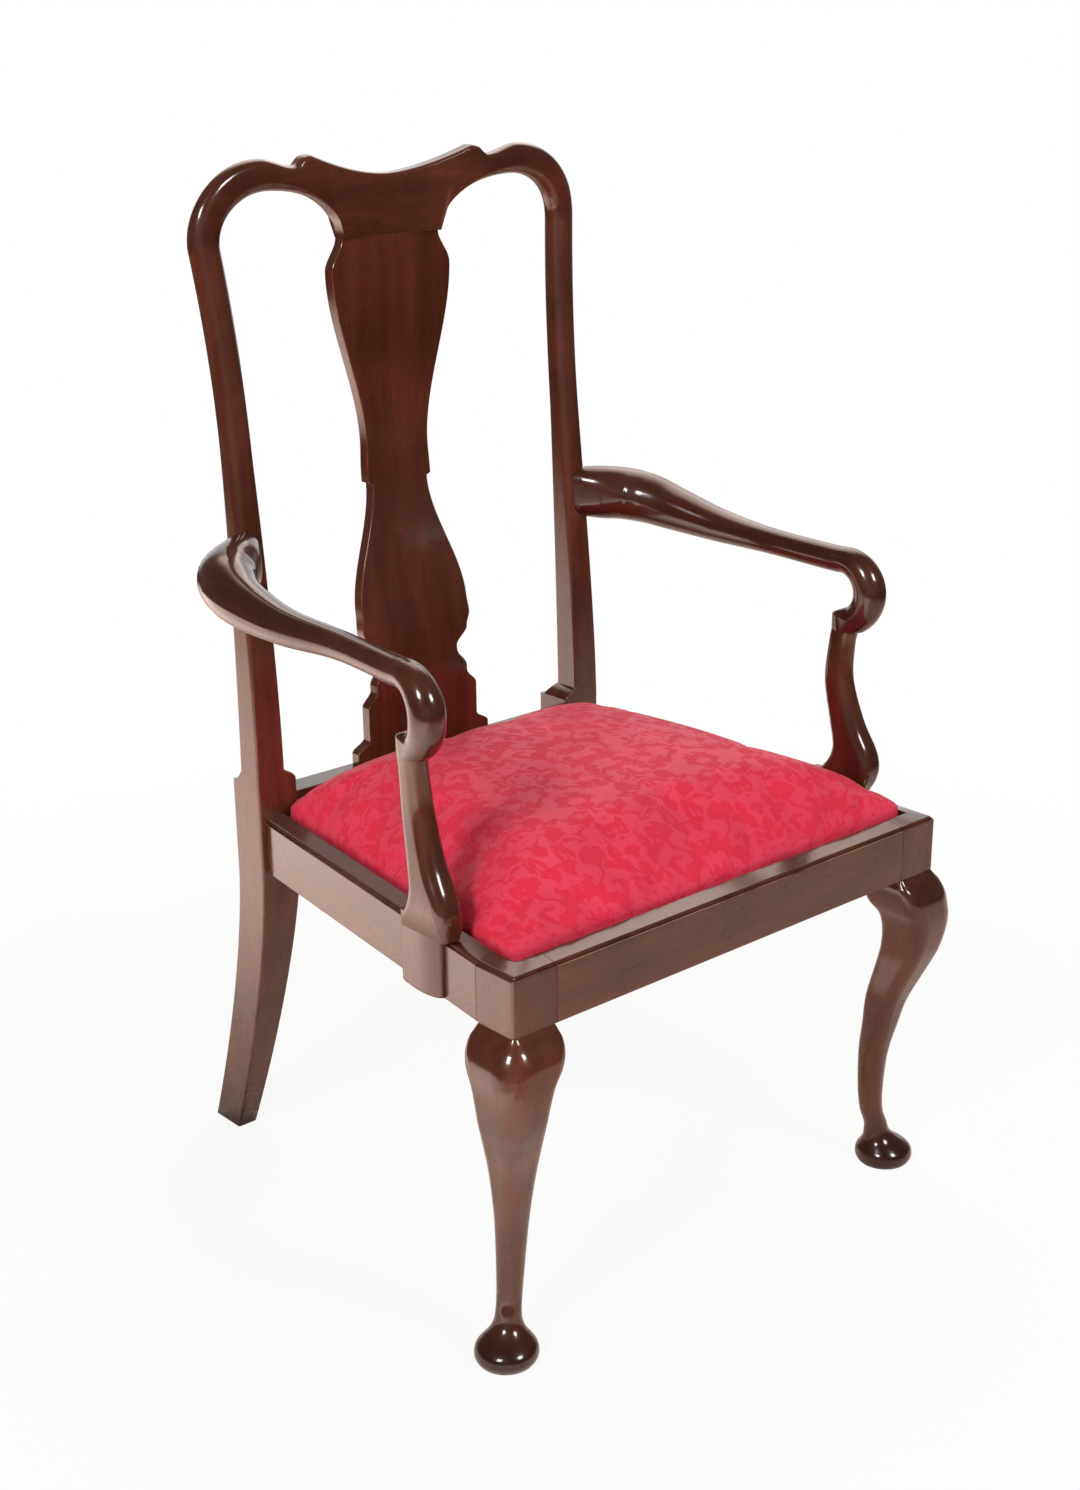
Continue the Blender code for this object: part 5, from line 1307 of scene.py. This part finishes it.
def strap_tree():
    """Flat straps swept along the edges of a mesh, with their lengths kept for the weave."""
    nodes, given, put = shape_tree("straps", Width="Float", Thickness="Float", Step="Float")
    by_length = {"mode": "LENGTH"}
    line = nodes.add("GeometryNodeMeshToCurve", Mesh=given["Geometry"])
    spaced = nodes.add("GeometryNodeResampleCurve", by_length, Curve=line, Length=given["Step"])
    upright = nodes.add("GeometryNodeSetCurveNormal", {"mode": "Z_UP"}, Curve=spaced)
    section = nodes.add("GeometryNodeCurvePrimitiveQuadrilateral", Width=given["Width"],
                        Height=given["Thickness"])
    finer = nodes.add("GeometryNodeResampleCurve", by_length, Curve=section, Length=0.0011)
    path, profile = [
        nodes.add("GeometryNodeStoreNamedAttribute", {"data_type": "FLOAT", "domain": "POINT"}, Name=name,
                  Geometry=curve, Value=nodes.add("GeometryNodeSplineParameter").outputs["Length"])
        for name, curve in (("along", upright), ("around", finer))
    ]
    swept = nodes.add("GeometryNodeCurveToMesh", Curve=path, Profile_Curve=profile, Fill_Caps=True)
    return end_tree(nodes, swept, given, put)


def frame_inset_x(y, inset):
    return inset_x(y, SEAT_INSET + FRAME_INSET + inset)


def woven(start, crossings, end, turn):
    """(place, height) along a strap that goes over and under those it crosses, one after the other."""
    flat = WEBBING_WIDTH / 2 + 0.004
    low = WEBBING_LOW + WEBBING_THICKNESS / 2
    levels = [(start, 0.5)]
    for i, place in enumerate(crossings):
        levels += [(place - flat, (i + turn) % 2), (place + flat, (i + turn) % 2)]
    return [(place, low + level * WEBBING_WAVE) for place, level in levels + [(end, 0.5)]]


def strap_lines():
    """Centre lines of the straps by name."""
    (front, rear), (inner_front, inner_rear) = [
        (SEAT_FRONT + FRAME_INSET + margin, SEAT_REAR - FRAME_INSET - margin)
        for margin in (STRAP_MARGIN, FRAME_MEMBER)
    ]
    long_x = [place * frame_inset_x(inner_rear, FRAME_MEMBER) * 0.62 for place in (-1.0, 0.0, 1.0)]
    cross_y = [between(inner_front, inner_rear, place) for place in (0.17, 0.5, 0.83)]
    lines = {}
    for i, x in enumerate(long_x, 1):
        lines["webbing_long_%d" % i] = [(x, y, z) for y, z in woven(front, cross_y, rear, i)]
    for i, y in enumerate(cross_y, 1):
        reach = frame_inset_x(y + WEBBING_WIDTH / 2, STRAP_MARGIN)
        lines["webbing_cross_%d" % i] = [(x, y, z) for x, z in woven(-reach, long_x, reach, i - 1)]
    return lines


class ARMCHAIR_OT_webbing(bpy.types.Operator):
    """Weave the webbing straps and lay the hessian over them"""

    bl_idname = "armchair.webbing"
    bl_label = "Webbing and hessian"

    def execute(self, context):
        points, edges = [], []
        lines = strap_lines()
        for line in lines.values():
            edges += [(len(points) + i, len(points) + i + 1) for i in range(len(line) - 1)]
            points += line
        mesh = bpy.data.meshes.new("strap_lines")
        mesh.from_pydata(points, edges, [])
        straps = grown_mesh("straps", mesh, strap_tree(), {
            "Width": WEBBING_WIDTH, "Thickness": WEBBING_THICKNESS, "Step": 0.004,
            "Material": jute("strap")})
        new_piece("jute_webbing", straps, jute("strap"), SEAT_BODY, list(lines))
        self.hessian()
        return {"FINISHED"}

    def hessian(self):
        """One flat sheet, cut to the slip frame less a small margin."""
        inset = FRAME_INSET + HESSIAN_MARGIN
        bm = bmesh.new()
        steps = np.linspace(-1.0, 1.0, 41)
        rows = []
        for v in steps:
            places = [seat_point(u, v, inset) for u in steps]
            rows.append([bm.verts.new((x, y, HESSIAN_LOW + HESSIAN_THICKNESS / 2)) for x, y, _ in places])
        quads(bm, rows)
        area = sum(face.calc_area() for face in bm.faces)
        mesh = new_mesh("hessian", bm)
        sheet = new_piece("jute_hessian", mesh, jute("hessian"), SEAT_BODY, ["seat_hessian"])
        sheet.modifiers.clear()
        solid = sheet.modifiers.new("thickness", "SOLIDIFY")
        solid.thickness = HESSIAN_THICKNESS
        solid.offset = 0.0


class ARMCHAIR_OT_plain_wood(bpy.types.Operator):
    """Finish the corner blocks, dowels and slip frame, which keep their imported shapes"""

    bl_idname = "armchair.plain_wood"
    bl_label = "Blocks, dowels and slip frame"

    def execute(self, context):
        for name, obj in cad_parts.items():
            if name.startswith(("corner_block", "arm_dowel", "seat_frame")):
                along = "fore_aft" if name.endswith(("frame_left", "frame_right")) else "across"
                for slot in obj.material_slots:
                    slot.material = beech(along)
        return {"FINISHED"}


# Finishes

WHITE = (1.0, 1.0, 1.0, 1.0)


def kept(store):
    """Has a material or node group made once, named after its maker, and found again from then on."""
    def keep(make):
        def find(*kinds):
            name = "_".join((make.__name__,) + kinds)
            return getattr(bpy.data, store).get(name) or make(name, *kinds)
        return find
    return keep


def shade(colour, share):
    return tuple(part * share for part in colour[:3]) + (1.0,)


def new_material(name):
    material = bpy.data.materials.new(name)
    material.use_nodes = True
    return material, Nodes(material.node_tree), material.node_tree.nodes["Principled BSDF"]


@kept("node_groups")
def wood_grain(name):
    """Ribbon and pore pattern that runs along Z of the vector it is given."""
    nodes, given, put = new_tree(
        "Shader", name,
        dict(Vector="Vector", Heart="Color", Ribbon="Color", Pore="Color", Pore_Share="Float"),
        dict(Color="Color", Roughness="Float", Height="Float"))
    wander = nodes.noise(given["Vector"], 9.0, 2.0)
    shift = nodes.vector("MULTIPLY", wander.outputs["Color"], (0.012, 0.012, 0.0))
    moved = nodes.vector("ADD", given["Vector"], shift)
    broad = nodes.add("ShaderNodeMapping", Vector=moved, Scale=(55.0, 55.0, 3.2))
    ribbon = nodes.noise(broad, 1.0, 5.0, Roughness=0.62)
    fine = nodes.add("ShaderNodeMapping", Vector=moved, Scale=(1500.0, 1500.0, 55.0))
    pores = nodes.ramp(nodes.noise(fine, 1.0, 2.0, Roughness=0.5), 0.56, 0.74)
    patch = nodes.noise(given["Vector"], 14.0, 3.0)
    tone = nodes.mix(nodes.ramp(ribbon, 0.30, 0.72), given["Heart"], given["Ribbon"])
    clouded = nodes.vector("SCALE", tone, nodes.ramp(patch, 0.25, 0.80, 0.72, 1.15))
    amount = nodes.math("MULTIPLY", pores, given["Pore Share"])
    rough = nodes.ramp(patch, 0.2, 0.8, 0.20, 0.36)
    ripple = nodes.math("MULTIPLY", ribbon, 0.6)
    nodes.feed(put, Color=nodes.mix(amount, clouded, given["Pore"]),
               Roughness=nodes.math("ADD", rough, nodes.math("MULTIPLY", pores, 0.10)),
               Height=nodes.math("SUBTRACT", ripple, nodes.math("MULTIPLY", amount, 0.25)))
    return nodes.tree


@kept("node_groups")
def edge_wear(name):
    """A mask of tight outward edges, broken up, where polish and colour are rubbed thin and a lighter
    colour is painted on as a highlight.
    """
    nodes, given, put = new_tree(
        "Shader", name, dict(Vector="Vector", Edge="Float", Scale="Float"), dict(Mask="Float"))
    broken = nodes.ramp(nodes.noise(given["Vector"], given["Scale"], 4.0), 0.36, 0.62)
    raised = nodes.ramp(given["Edge"], 0.25, 0.9)
    nodes.feed(put, Mask=nodes.math("MULTIPLY", raised, broken))
    return nodes.tree


QUARTER_TURN = math.radians(90.0)
GRAIN_TURN = {
    "upright": (0.0, 0.0, 0.0), "splat": (0.0, 0.0, 0.0), "across": (0.0, QUARTER_TURN, 0.0),
    "fore_aft": (QUARTER_TURN, 0.0, 0.0), "arm": (QUARTER_TURN, 0.0, 0.0),
}
SPLAT_CUT = (0.37, 0.11, 0.05)
# Lighter colour of the edges: partly rubbed wood, partly a painted highlight.
RUBBED_AND_HIGHLIT_WOOD = (0.30, 0.11, 0.065, 1.0)


@kept("materials")
def mahogany(name, grain):
    """French-polished mahogany with its grain along one direction of the chair."""
    wood = bpy.context.scene.armchair_wood
    material, nodes, shader = new_material(name)
    place = nodes.place()
    turned = nodes.add("ShaderNodeMapping", Vector=place, Rotation=GRAIN_TURN[grain],
                       Location=SPLAT_CUT if grain == "splat" else (0.0, 0.0, 0.0))
    figure = nodes.group(wood_grain(), Vector=turned, Heart=wood.heartwood, Ribbon=wood.ribbon,
                         Pore=wood.pores, Pore_Share=0.75)
    # Tight outward edges are lighter: partly wood rubbed thin, partly a painted highlight.
    wear_and_highlight = nodes.group(edge_wear(), Vector=place, Edge=nodes.stored("arris"), Scale=60.0)["Mask"]
    colour = nodes.mix(nodes.math("MULTIPLY", wear_and_highlight, 0.45), figure["Color"], RUBBED_AND_HIGHLIT_WOOD)
    # The base colour is darker towards the floor. The arms are darker all over, partly as darker wood and
    # partly as painted shade for the dark room that the crooks mirror.
    arm_wood_and_shade = 0.70 if grain == "arm" else 1.0
    low_and_arm_darkening = nodes.ramp(nodes.split(place)["Z"], 0.006, 0.050, 0.30, arm_wood_and_shade)
    nodes.feed(shader, Base_Color=nodes.vector("SCALE", colour, low_and_arm_darkening), Roughness=figure["Roughness"],
               Normal=nodes.bump(0.10, 0.0006, figure["Height"]), Specular_IOR_Level=0.15,
               Coat_Weight=1.0, Coat_Roughness=0.13, Coat_IOR=1.52)
    return material


@kept("materials")
def beech(name, grain):
    """Plain sawn beech with short flecks."""
    wood = bpy.context.scene.armchair_wood
    material, nodes, shader = new_material(name)
    turned = nodes.add("ShaderNodeMapping", Vector=nodes.place(), Rotation=GRAIN_TURN[grain])
    figure = nodes.group(wood_grain(), Vector=turned, Heart=shade(wood.beech, 0.72), Ribbon=wood.beech,
                         Pore=(0.20, 0.12, 0.06, 1.0), Pore_Share=0.45)
    nodes.feed(shader, Base_Color=figure["Color"], Roughness=nodes.math("ADD", figure["Roughness"], 0.35),
               Normal=nodes.bump(0.35, 0.0006, figure["Height"]))
    return material


@kept("node_groups")
def thread_weave(name):
    """Plain weave at a thread pitch: its height and which thread is on top."""
    nodes, given, put = new_tree(
        "Shader", name, dict(Vector="Vector", Pitch="Float", Wander="Float"),
        dict(Height="Float", Over="Float"))
    slub = nodes.noise(given["Vector"], 160.0, 2.0)
    drift = nodes.vector("SCALE", slub.outputs["Color"], given["Wander"])
    place = nodes.split(nodes.vector("ADD", given["Vector"], drift))
    waves = []
    for axis in "XY":
        turns = nodes.math("DIVIDE", place[axis], given["Pitch"])
        waves.append(nodes.math("SINE", nodes.math("MULTIPLY", turns, math.pi)))
    over = nodes.math("GREATER_THAN", nodes.math("MULTIPLY", *waves), 0.0)
    warp, weft = [
        nodes.math("MULTIPLY", nodes.math("ABSOLUTE", wave), shown)
        for wave, shown in zip(waves, (over, nodes.math("SUBTRACT", 1.0, over)))
    ]
    nodes.feed(put, Height=nodes.math("ADD", warp, weft), Over=over)
    return nodes.tree


REPEAT_SHAPE = 1.36
# Shift, petals and rings of the damask's two fans
FANS = [(0.0, 4.5, 30.0), (0.5, 3.5, 38.0)]


def damask_figure():
    """A half-drop repeat of two scalloped fans among sprigs, mirrored about its upright lines."""
    nodes, given, put = new_tree(
        "Shader", "damask_figure", dict(Vector="Vector", Repeat="Float"), dict(Mask="Float"))
    rough = nodes.noise(given["Vector"], 260.0, 2.0)
    shake = nodes.vector("SCALE", rough.outputs["Color"], 0.0014)
    shaken = nodes.vector("ADD", given["Vector"], shake)
    size = nodes.join(X=given["Repeat"], Y=nodes.math("MULTIPLY", given["Repeat"], REPEAT_SHAPE), Z=1.0)
    share = nodes.vector("DIVIDE", shaken, size)
    grown = None
    for drop, petals, rings in FANS:
        moved = nodes.vector("ADD", share, (drop, drop, 0.0))
        place = nodes.split(nodes.vector("WRAP", moved, (0.5, 0.5, 0.5), (-0.5, -0.5, -0.5)))
        across = nodes.math("ABSOLUTE", place["X"])
        up = nodes.math("MULTIPLY", place["Y"], REPEAT_SHAPE)
        half = nodes.join(X=across, Y=up)
        if grown is None:
            grown = nodes.noise(half, 10.5, 4.0, Roughness=0.58, Distortion=0.9)
        radius = nodes.vector("LENGTH", half)
        angle = nodes.math("ARCTAN2", up, across)
        petal = nodes.math("ABSOLUTE", nodes.math("SINE", nodes.math("MULTIPLY", angle, petals)))
        ring = nodes.math("MULTIPLY_ADD", radius, rings, nodes.math("MULTIPLY", petal, -2.4))
        fan = nodes.math("MULTIPLY", nodes.math("SINE", ring), nodes.ramp(radius, 0.16, 0.44, 1.0, 0.0))
        grown = nodes.math("MULTIPLY_ADD", fan, 0.085, grown)
    nodes.feed(put, Mask=nodes.ramp(grown, 0.46, 0.54))
    return nodes.tree


def damask():
    """Crimson damask: a satin figure on a duller ground, both showing their threads."""
    seat = bpy.context.scene.armchair_seat
    material, nodes, shader = new_material("crimson_damask")
    cloth = nodes.add("ShaderNodeUVMap", {"uv_map": "cloth"})
    figure = nodes.group(damask_figure(), Vector=cloth, Repeat=seat.repeat)["Mask"]
    weave = nodes.group(thread_weave(), Vector=cloth, Pitch=0.00042, Wander=0.00012)
    tone = nodes.mix(figure, seat.ground, seat.figure)
    thread = nodes.mix(weave["Over"], (0.90, 0.90, 0.90, 1.0), WHITE)
    tone = nodes.mix(1.0, tone, thread, "MULTIPLY")
    worn = nodes.ramp(nodes.noise(cloth, 22.0, 4.0), 0.25, 0.75, 0.90, 1.06)
    height = nodes.math("MULTIPLY_ADD", figure, 0.5, nodes.math("MULTIPLY", weave["Height"], 0.35))
    nodes.feed(shader, Base_Color=nodes.vector("SCALE", tone, worn),
               Roughness=nodes.ramp(figure, 0.0, 1.0, 0.66, 0.46), Normal=nodes.bump(0.35, 0.0004, height),
               Sheen_Weight=0.12, Sheen_Roughness=0.45, Sheen_Tint=(1.0, 0.62, 0.66, 1.0),
               Specular_IOR_Level=0.2)
    return material


@kept("materials")
def jute(name, kind):
    """Coarse natural jute, woven along the lengths kept on a strap or across the hessian's plan."""
    seat = bpy.context.scene.armchair_seat
    material, nodes, shader = new_material(name)
    if kind == "strap":
        vector, pitch = nodes.join(X=nodes.stored("along"), Y=nodes.stored("around")), 0.0022
    else:
        vector, pitch = nodes.place(), 0.0017
    weave = nodes.group(thread_weave(), Vector=vector, Pitch=pitch, Wander=0.0006)["Height"]
    fibre = nodes.noise(vector, 700.0, 3.0)
    # Low parts of the weave are darker: painted shade between the threads.
    tone = nodes.mix(nodes.ramp(weave, 0.1, 0.8), shade(seat.jute, 0.55), seat.jute)
    tone = nodes.mix(nodes.ramp(fibre, 0.35, 0.75, 0.0, 0.5), tone, (0.55, 0.44, 0.28, 1.0))
    nodes.feed(shader, Base_Color=tone, Roughness=nodes.ramp(fibre, 0.3, 0.7, 0.78, 0.95),
               Normal=nodes.bump(0.8, 0.0005, weave))
    return material


@kept("materials")
def tarnished_steel(name):
    """Dull screw steel with turning marks and brown tarnish."""
    material, nodes, shader = new_material(name)
    place = nodes.place()
    marks = nodes.noise(place, 900.0, 3.0)
    rust = nodes.ramp(nodes.noise(place, 240.0, 4.0), 0.50, 0.72)
    nodes.feed(shader, Base_Color=nodes.mix(rust, (0.42, 0.40, 0.37, 1.0), (0.16, 0.09, 0.05, 1.0)),
               Metallic=nodes.ramp(rust, 0.0, 1.0, 1.0, 0.45),
               Roughness=nodes.ramp(marks, 0.3, 0.7, 0.30, 0.55), Normal=nodes.bump(0.2, 0.0002, marks))
    return material


# Stage

SOFTBOX_SIZE = 0.56
PICTURE_SHIFT = (-0.01785, 0.02678)


def camera_axes(stage):
    """Right, up and back of the camera."""
    back = Vector((math.sin(stage.azimuth) * math.cos(stage.elevation),
                   -math.cos(stage.azimuth) * math.cos(stage.elevation), math.sin(stage.elevation)))
    right = Vector((math.cos(stage.azimuth), math.sin(stage.azimuth), 0.0))
    up = back.cross(right)
    turn_cos, turn_sin = math.cos(stage.roll), math.sin(stage.roll)
    return right * turn_cos + up * turn_sin, up * turn_cos - right * turn_sin, back


class ARMCHAIR_OT_stage(bpy.types.Operator):
    """Set the floor, the light and the camera"""

    bl_idname = "armchair.stage"
    bl_label = "Stage"

    def execute(self, context):
        scene = context.scene
        self.floor()
        self.world(scene)
        self.sweep()
        self.overhead()
        self.lamps()
        self.camera(scene)
        scene.view_settings.view_transform = "Standard"
        return {"FINISHED"}

    def sheet(self, name, material, size, height, steps=2):
        """A level square of the stage."""
        bm = bmesh.new()
        bmesh.ops.create_grid(bm, x_segments=steps, y_segments=steps, size=size / 2)
        bmesh.ops.translate(bm, vec=(0.0, 0.0, height), verts=bm.verts)
        mesh = plain_mesh(name, bm)
        mesh.materials.append(material)
        obj = new_object(name, mesh)
        return obj

    def floor(self):
        """Paper that is white to the camera, painted warm in what the wood mirrors, and painted dark far
        off as shade.
        """
        material, nodes, shader = new_material("white_floor")
        away = nodes.vector("LENGTH", nodes.place())
        eye = nodes.add("ShaderNodeLightPath").outputs["Is Camera Ray"]
        # The camera sees neutral paper. Bounce and reflections see a painted warm tint near the chair and
        # painted shade far off.
        paper = nodes.mix(eye, (0.90, 0.73, 0.64, 1.0), (0.90, 0.90, 0.90, 1.0))
        tone = nodes.mix(nodes.ramp(away, 0.85, 2.3), paper, (0.06, 0.05, 0.045, 1.0))
        nodes.feed(shader, Base_Color=tone, Roughness=0.9, Specular_IOR_Level=0.1)
        seen = nodes.math("MULTIPLY", eye, nodes.ramp(away, 0.35, 1.0, 0.91, 1.0))
        glow = nodes.add("ShaderNodeEmission", Color=WHITE, Strength=1.0)
        nodes.surface("ShaderNodeMixShader", seen, shader, glow)
        self.sheet("floor", material, 12.0, -0.0003, 4)

    def glow_sheet(self, name, size, height, colour):
        """A sheet that gives light from one of its faces and is clear to the camera."""
        material, nodes, shader = new_material(name)
        nodes.tree.nodes.remove(shader)
        glow = nodes.add("ShaderNodeEmission", Color=colour)
        nodes.surface("ShaderNodeAddShader", glow, nodes.add("ShaderNodeBsdfTransparent"))
        sheet = self.sheet(name, material, size, height)
        sheet.visible_camera = sheet.visible_shadow = False
        return nodes, nodes.place(), nodes.add("ShaderNodeNewGeometry").outputs["Backfacing"], glow

    def sweep(self):
        """A lit sweep on the floor, brightest at the left behind the chair, that shows in the polish."""
        nodes, place, behind, glow = self.glow_sheet("lit_sweep", 5.2, 0.0012, (1.0, 0.79, 0.70, 1.0))
        toward = nodes.vector("DOT_PRODUCT", place, (-0.90, 0.30, 0.0))
        away = nodes.vector("LENGTH", place)
        near = nodes.vector("DISTANCE", place, (-0.42, -0.36, 0.0))
        lit = nodes.math("MULTIPLY", nodes.ramp(toward, 0.19, 0.62), nodes.ramp(away, 1.4, 2.5, 1.0, 0.0))
        lit = nodes.math("MULTIPLY_ADD", lit, 2.0, nodes.ramp(near, 0.08, 0.46, 0.9, 0.0))
        nodes.feed(glow, Strength=nodes.math("MULTIPLY", lit, nodes.math("SUBTRACT", 1.0, behind)))

    def overhead(self):
        """A wide bank over and behind the chair that fades towards its edges."""
        nodes, place, lit, glow = self.glow_sheet("overhead_bank", 7.0, 2.25, (1.0, 0.82, 0.74, 1.0))
        spot = nodes.split(nodes.vector("SUBTRACT", place, (1.50, 1.35, 0.0)))
        for axis, reach in (("X", 1.7), ("Y", 1.3)):
            off = nodes.math("ABSOLUTE", spot[axis])
            lit = nodes.math("MULTIPLY", lit, nodes.ramp(off, reach * 0.5, reach, 1.0, 0.0))
        nodes.feed(glow, Strength=nodes.math("MULTIPLY", lit, 2.8))

    def world(self, scene):
        """A dark room with a white backdrop, a dim wall before the chair, and plain white to the camera."""
        world = bpy.data.worlds.new("studio")
        world.use_nodes = True
        scene.world = world
        nodes = Nodes(world.node_tree)
        room = world.node_tree.nodes["Background"]
        direction = nodes.place("Generated")
        ahead = -camera_axes(scene.armchair_stage)[2]
        ahead.z = 0.0
        facing = nodes.vector("DOT_PRODUCT", direction, ahead.normalized())
        height = nodes.split(direction)["Z"]
        backdrop = nodes.math("MULTIPLY", nodes.ramp(facing, 0.76, 0.93),
                              nodes.ramp(height, 0.40, 0.75, 1.0, 0.0))
        wall = nodes.math("MULTIPLY", nodes.ramp(facing, -0.95, -0.80, 1.0, 0.0),
                          nodes.ramp(height, 0.12, 0.40, 0.22, 0.0))
        light = nodes.math("ADD", nodes.ramp(backdrop, 0.0, 1.0, 0.10, 1.20), wall)
        nodes.feed(room, Color=WHITE, Strength=light)
        path = nodes.add("ShaderNodeLightPath").outputs
        seen = nodes.math("MAXIMUM", path["Is Camera Ray"], path["Is Transmission Ray"])
        mirrored = nodes.math("MULTIPLY", path["Is Glossy Ray"], backdrop)
        white = nodes.add("ShaderNodeBackground", Color=WHITE, Strength=1.0)
        nodes.surface("ShaderNodeMixShader", nodes.math("MAXIMUM", seen, mirrored), room, white)

    def lamps(self):
        """Two softboxes either side of the camera."""
        aim = Vector((0.0, FRONT_Y + 0.17, 0.33))
        plan = [("softbox_left", (-2.10, -0.85, 1.85), 34.0), ("softbox_right", (0.30, -2.15, 1.85), 29.0)]
        for name, place, power in plan:
            lamp = bpy.data.lights.new(name, "AREA")
            lamp.shape = "RECTANGLE"
            lamp.size = lamp.size_y = SOFTBOX_SIZE
            lamp.energy = power
            obj = new_object(name, lamp)
            obj.location = place
            obj.rotation_euler = (aim - Vector(place)).to_track_quat("-Z", "Y").to_euler()
            obj.visible_camera = False

    def camera(self, scene):
        stage = scene.armchair_stage
        lens = bpy.data.cameras.new("camera")
        lens.sensor_width = 36.0
        lens.lens = stage.lens
        lens.shift_x, lens.shift_y = PICTURE_SHIFT
        camera = new_object("camera", lens)
        right, up, back = camera_axes(stage)
        turn = Matrix((right, up, back)).transposed().to_4x4()
        target = Vector((0.0, FRONT_Y + 0.17163, 0.3087))
        camera.matrix_world = Matrix.Translation(target + back * stage.distance) @ turn
        scene.camera = camera


class VIEW3D_PT_armchair(bpy.types.Panel):
    """The steps that finish the chair, in order"""

    bl_label = "Child's armchair"
    bl_space_type = "VIEW_3D"
    bl_region_type = "UI"
    bl_category = "Armchair"

    def draw(self, context):
        for step in STEPS:
            self.layout.operator(step.bl_idname)
        scene = context.scene
        for group in (scene.armchair_wood, scene.armchair_seat, scene.armchair_stage):
            column = self.layout.column()
            for name in group.__annotations__:
                column.prop(group, name)


GROUPS = (ArmchairWood, ArmchairSeat, ArmchairStage)
STEPS = (
    ARMCHAIR_OT_front_legs, ARMCHAIR_OT_rear_legs, ARMCHAIR_OT_seat_rails, ARMCHAIR_OT_back,
    ARMCHAIR_OT_arms, ARMCHAIR_OT_screws, ARMCHAIR_OT_plain_wood, ARMCHAIR_OT_webbing,
    ARMCHAIR_OT_damask_pad, ARMCHAIR_OT_tacks, ARMCHAIR_OT_stage,
)


def register():
    for kind in GROUPS + STEPS + (VIEW3D_PT_armchair,):
        bpy.utils.register_class(kind)
    bpy.types.Scene.armchair_wood = PointerProperty(type=ArmchairWood)
    bpy.types.Scene.armchair_seat = PointerProperty(type=ArmchairSeat)
    bpy.types.Scene.armchair_stage = PointerProperty(type=ArmchairStage)


def unregister():
    del bpy.types.Scene.armchair_stage
    del bpy.types.Scene.armchair_seat
    del bpy.types.Scene.armchair_wood
    for kind in reversed(GROUPS + STEPS + (VIEW3D_PT_armchair,)):
        bpy.utils.unregister_class(kind)


def main():
    register()
    for step in STEPS:
        getattr(bpy.ops.armchair, step.bl_idname.split(".")[1])()


if __name__ == "__main__":
    main()
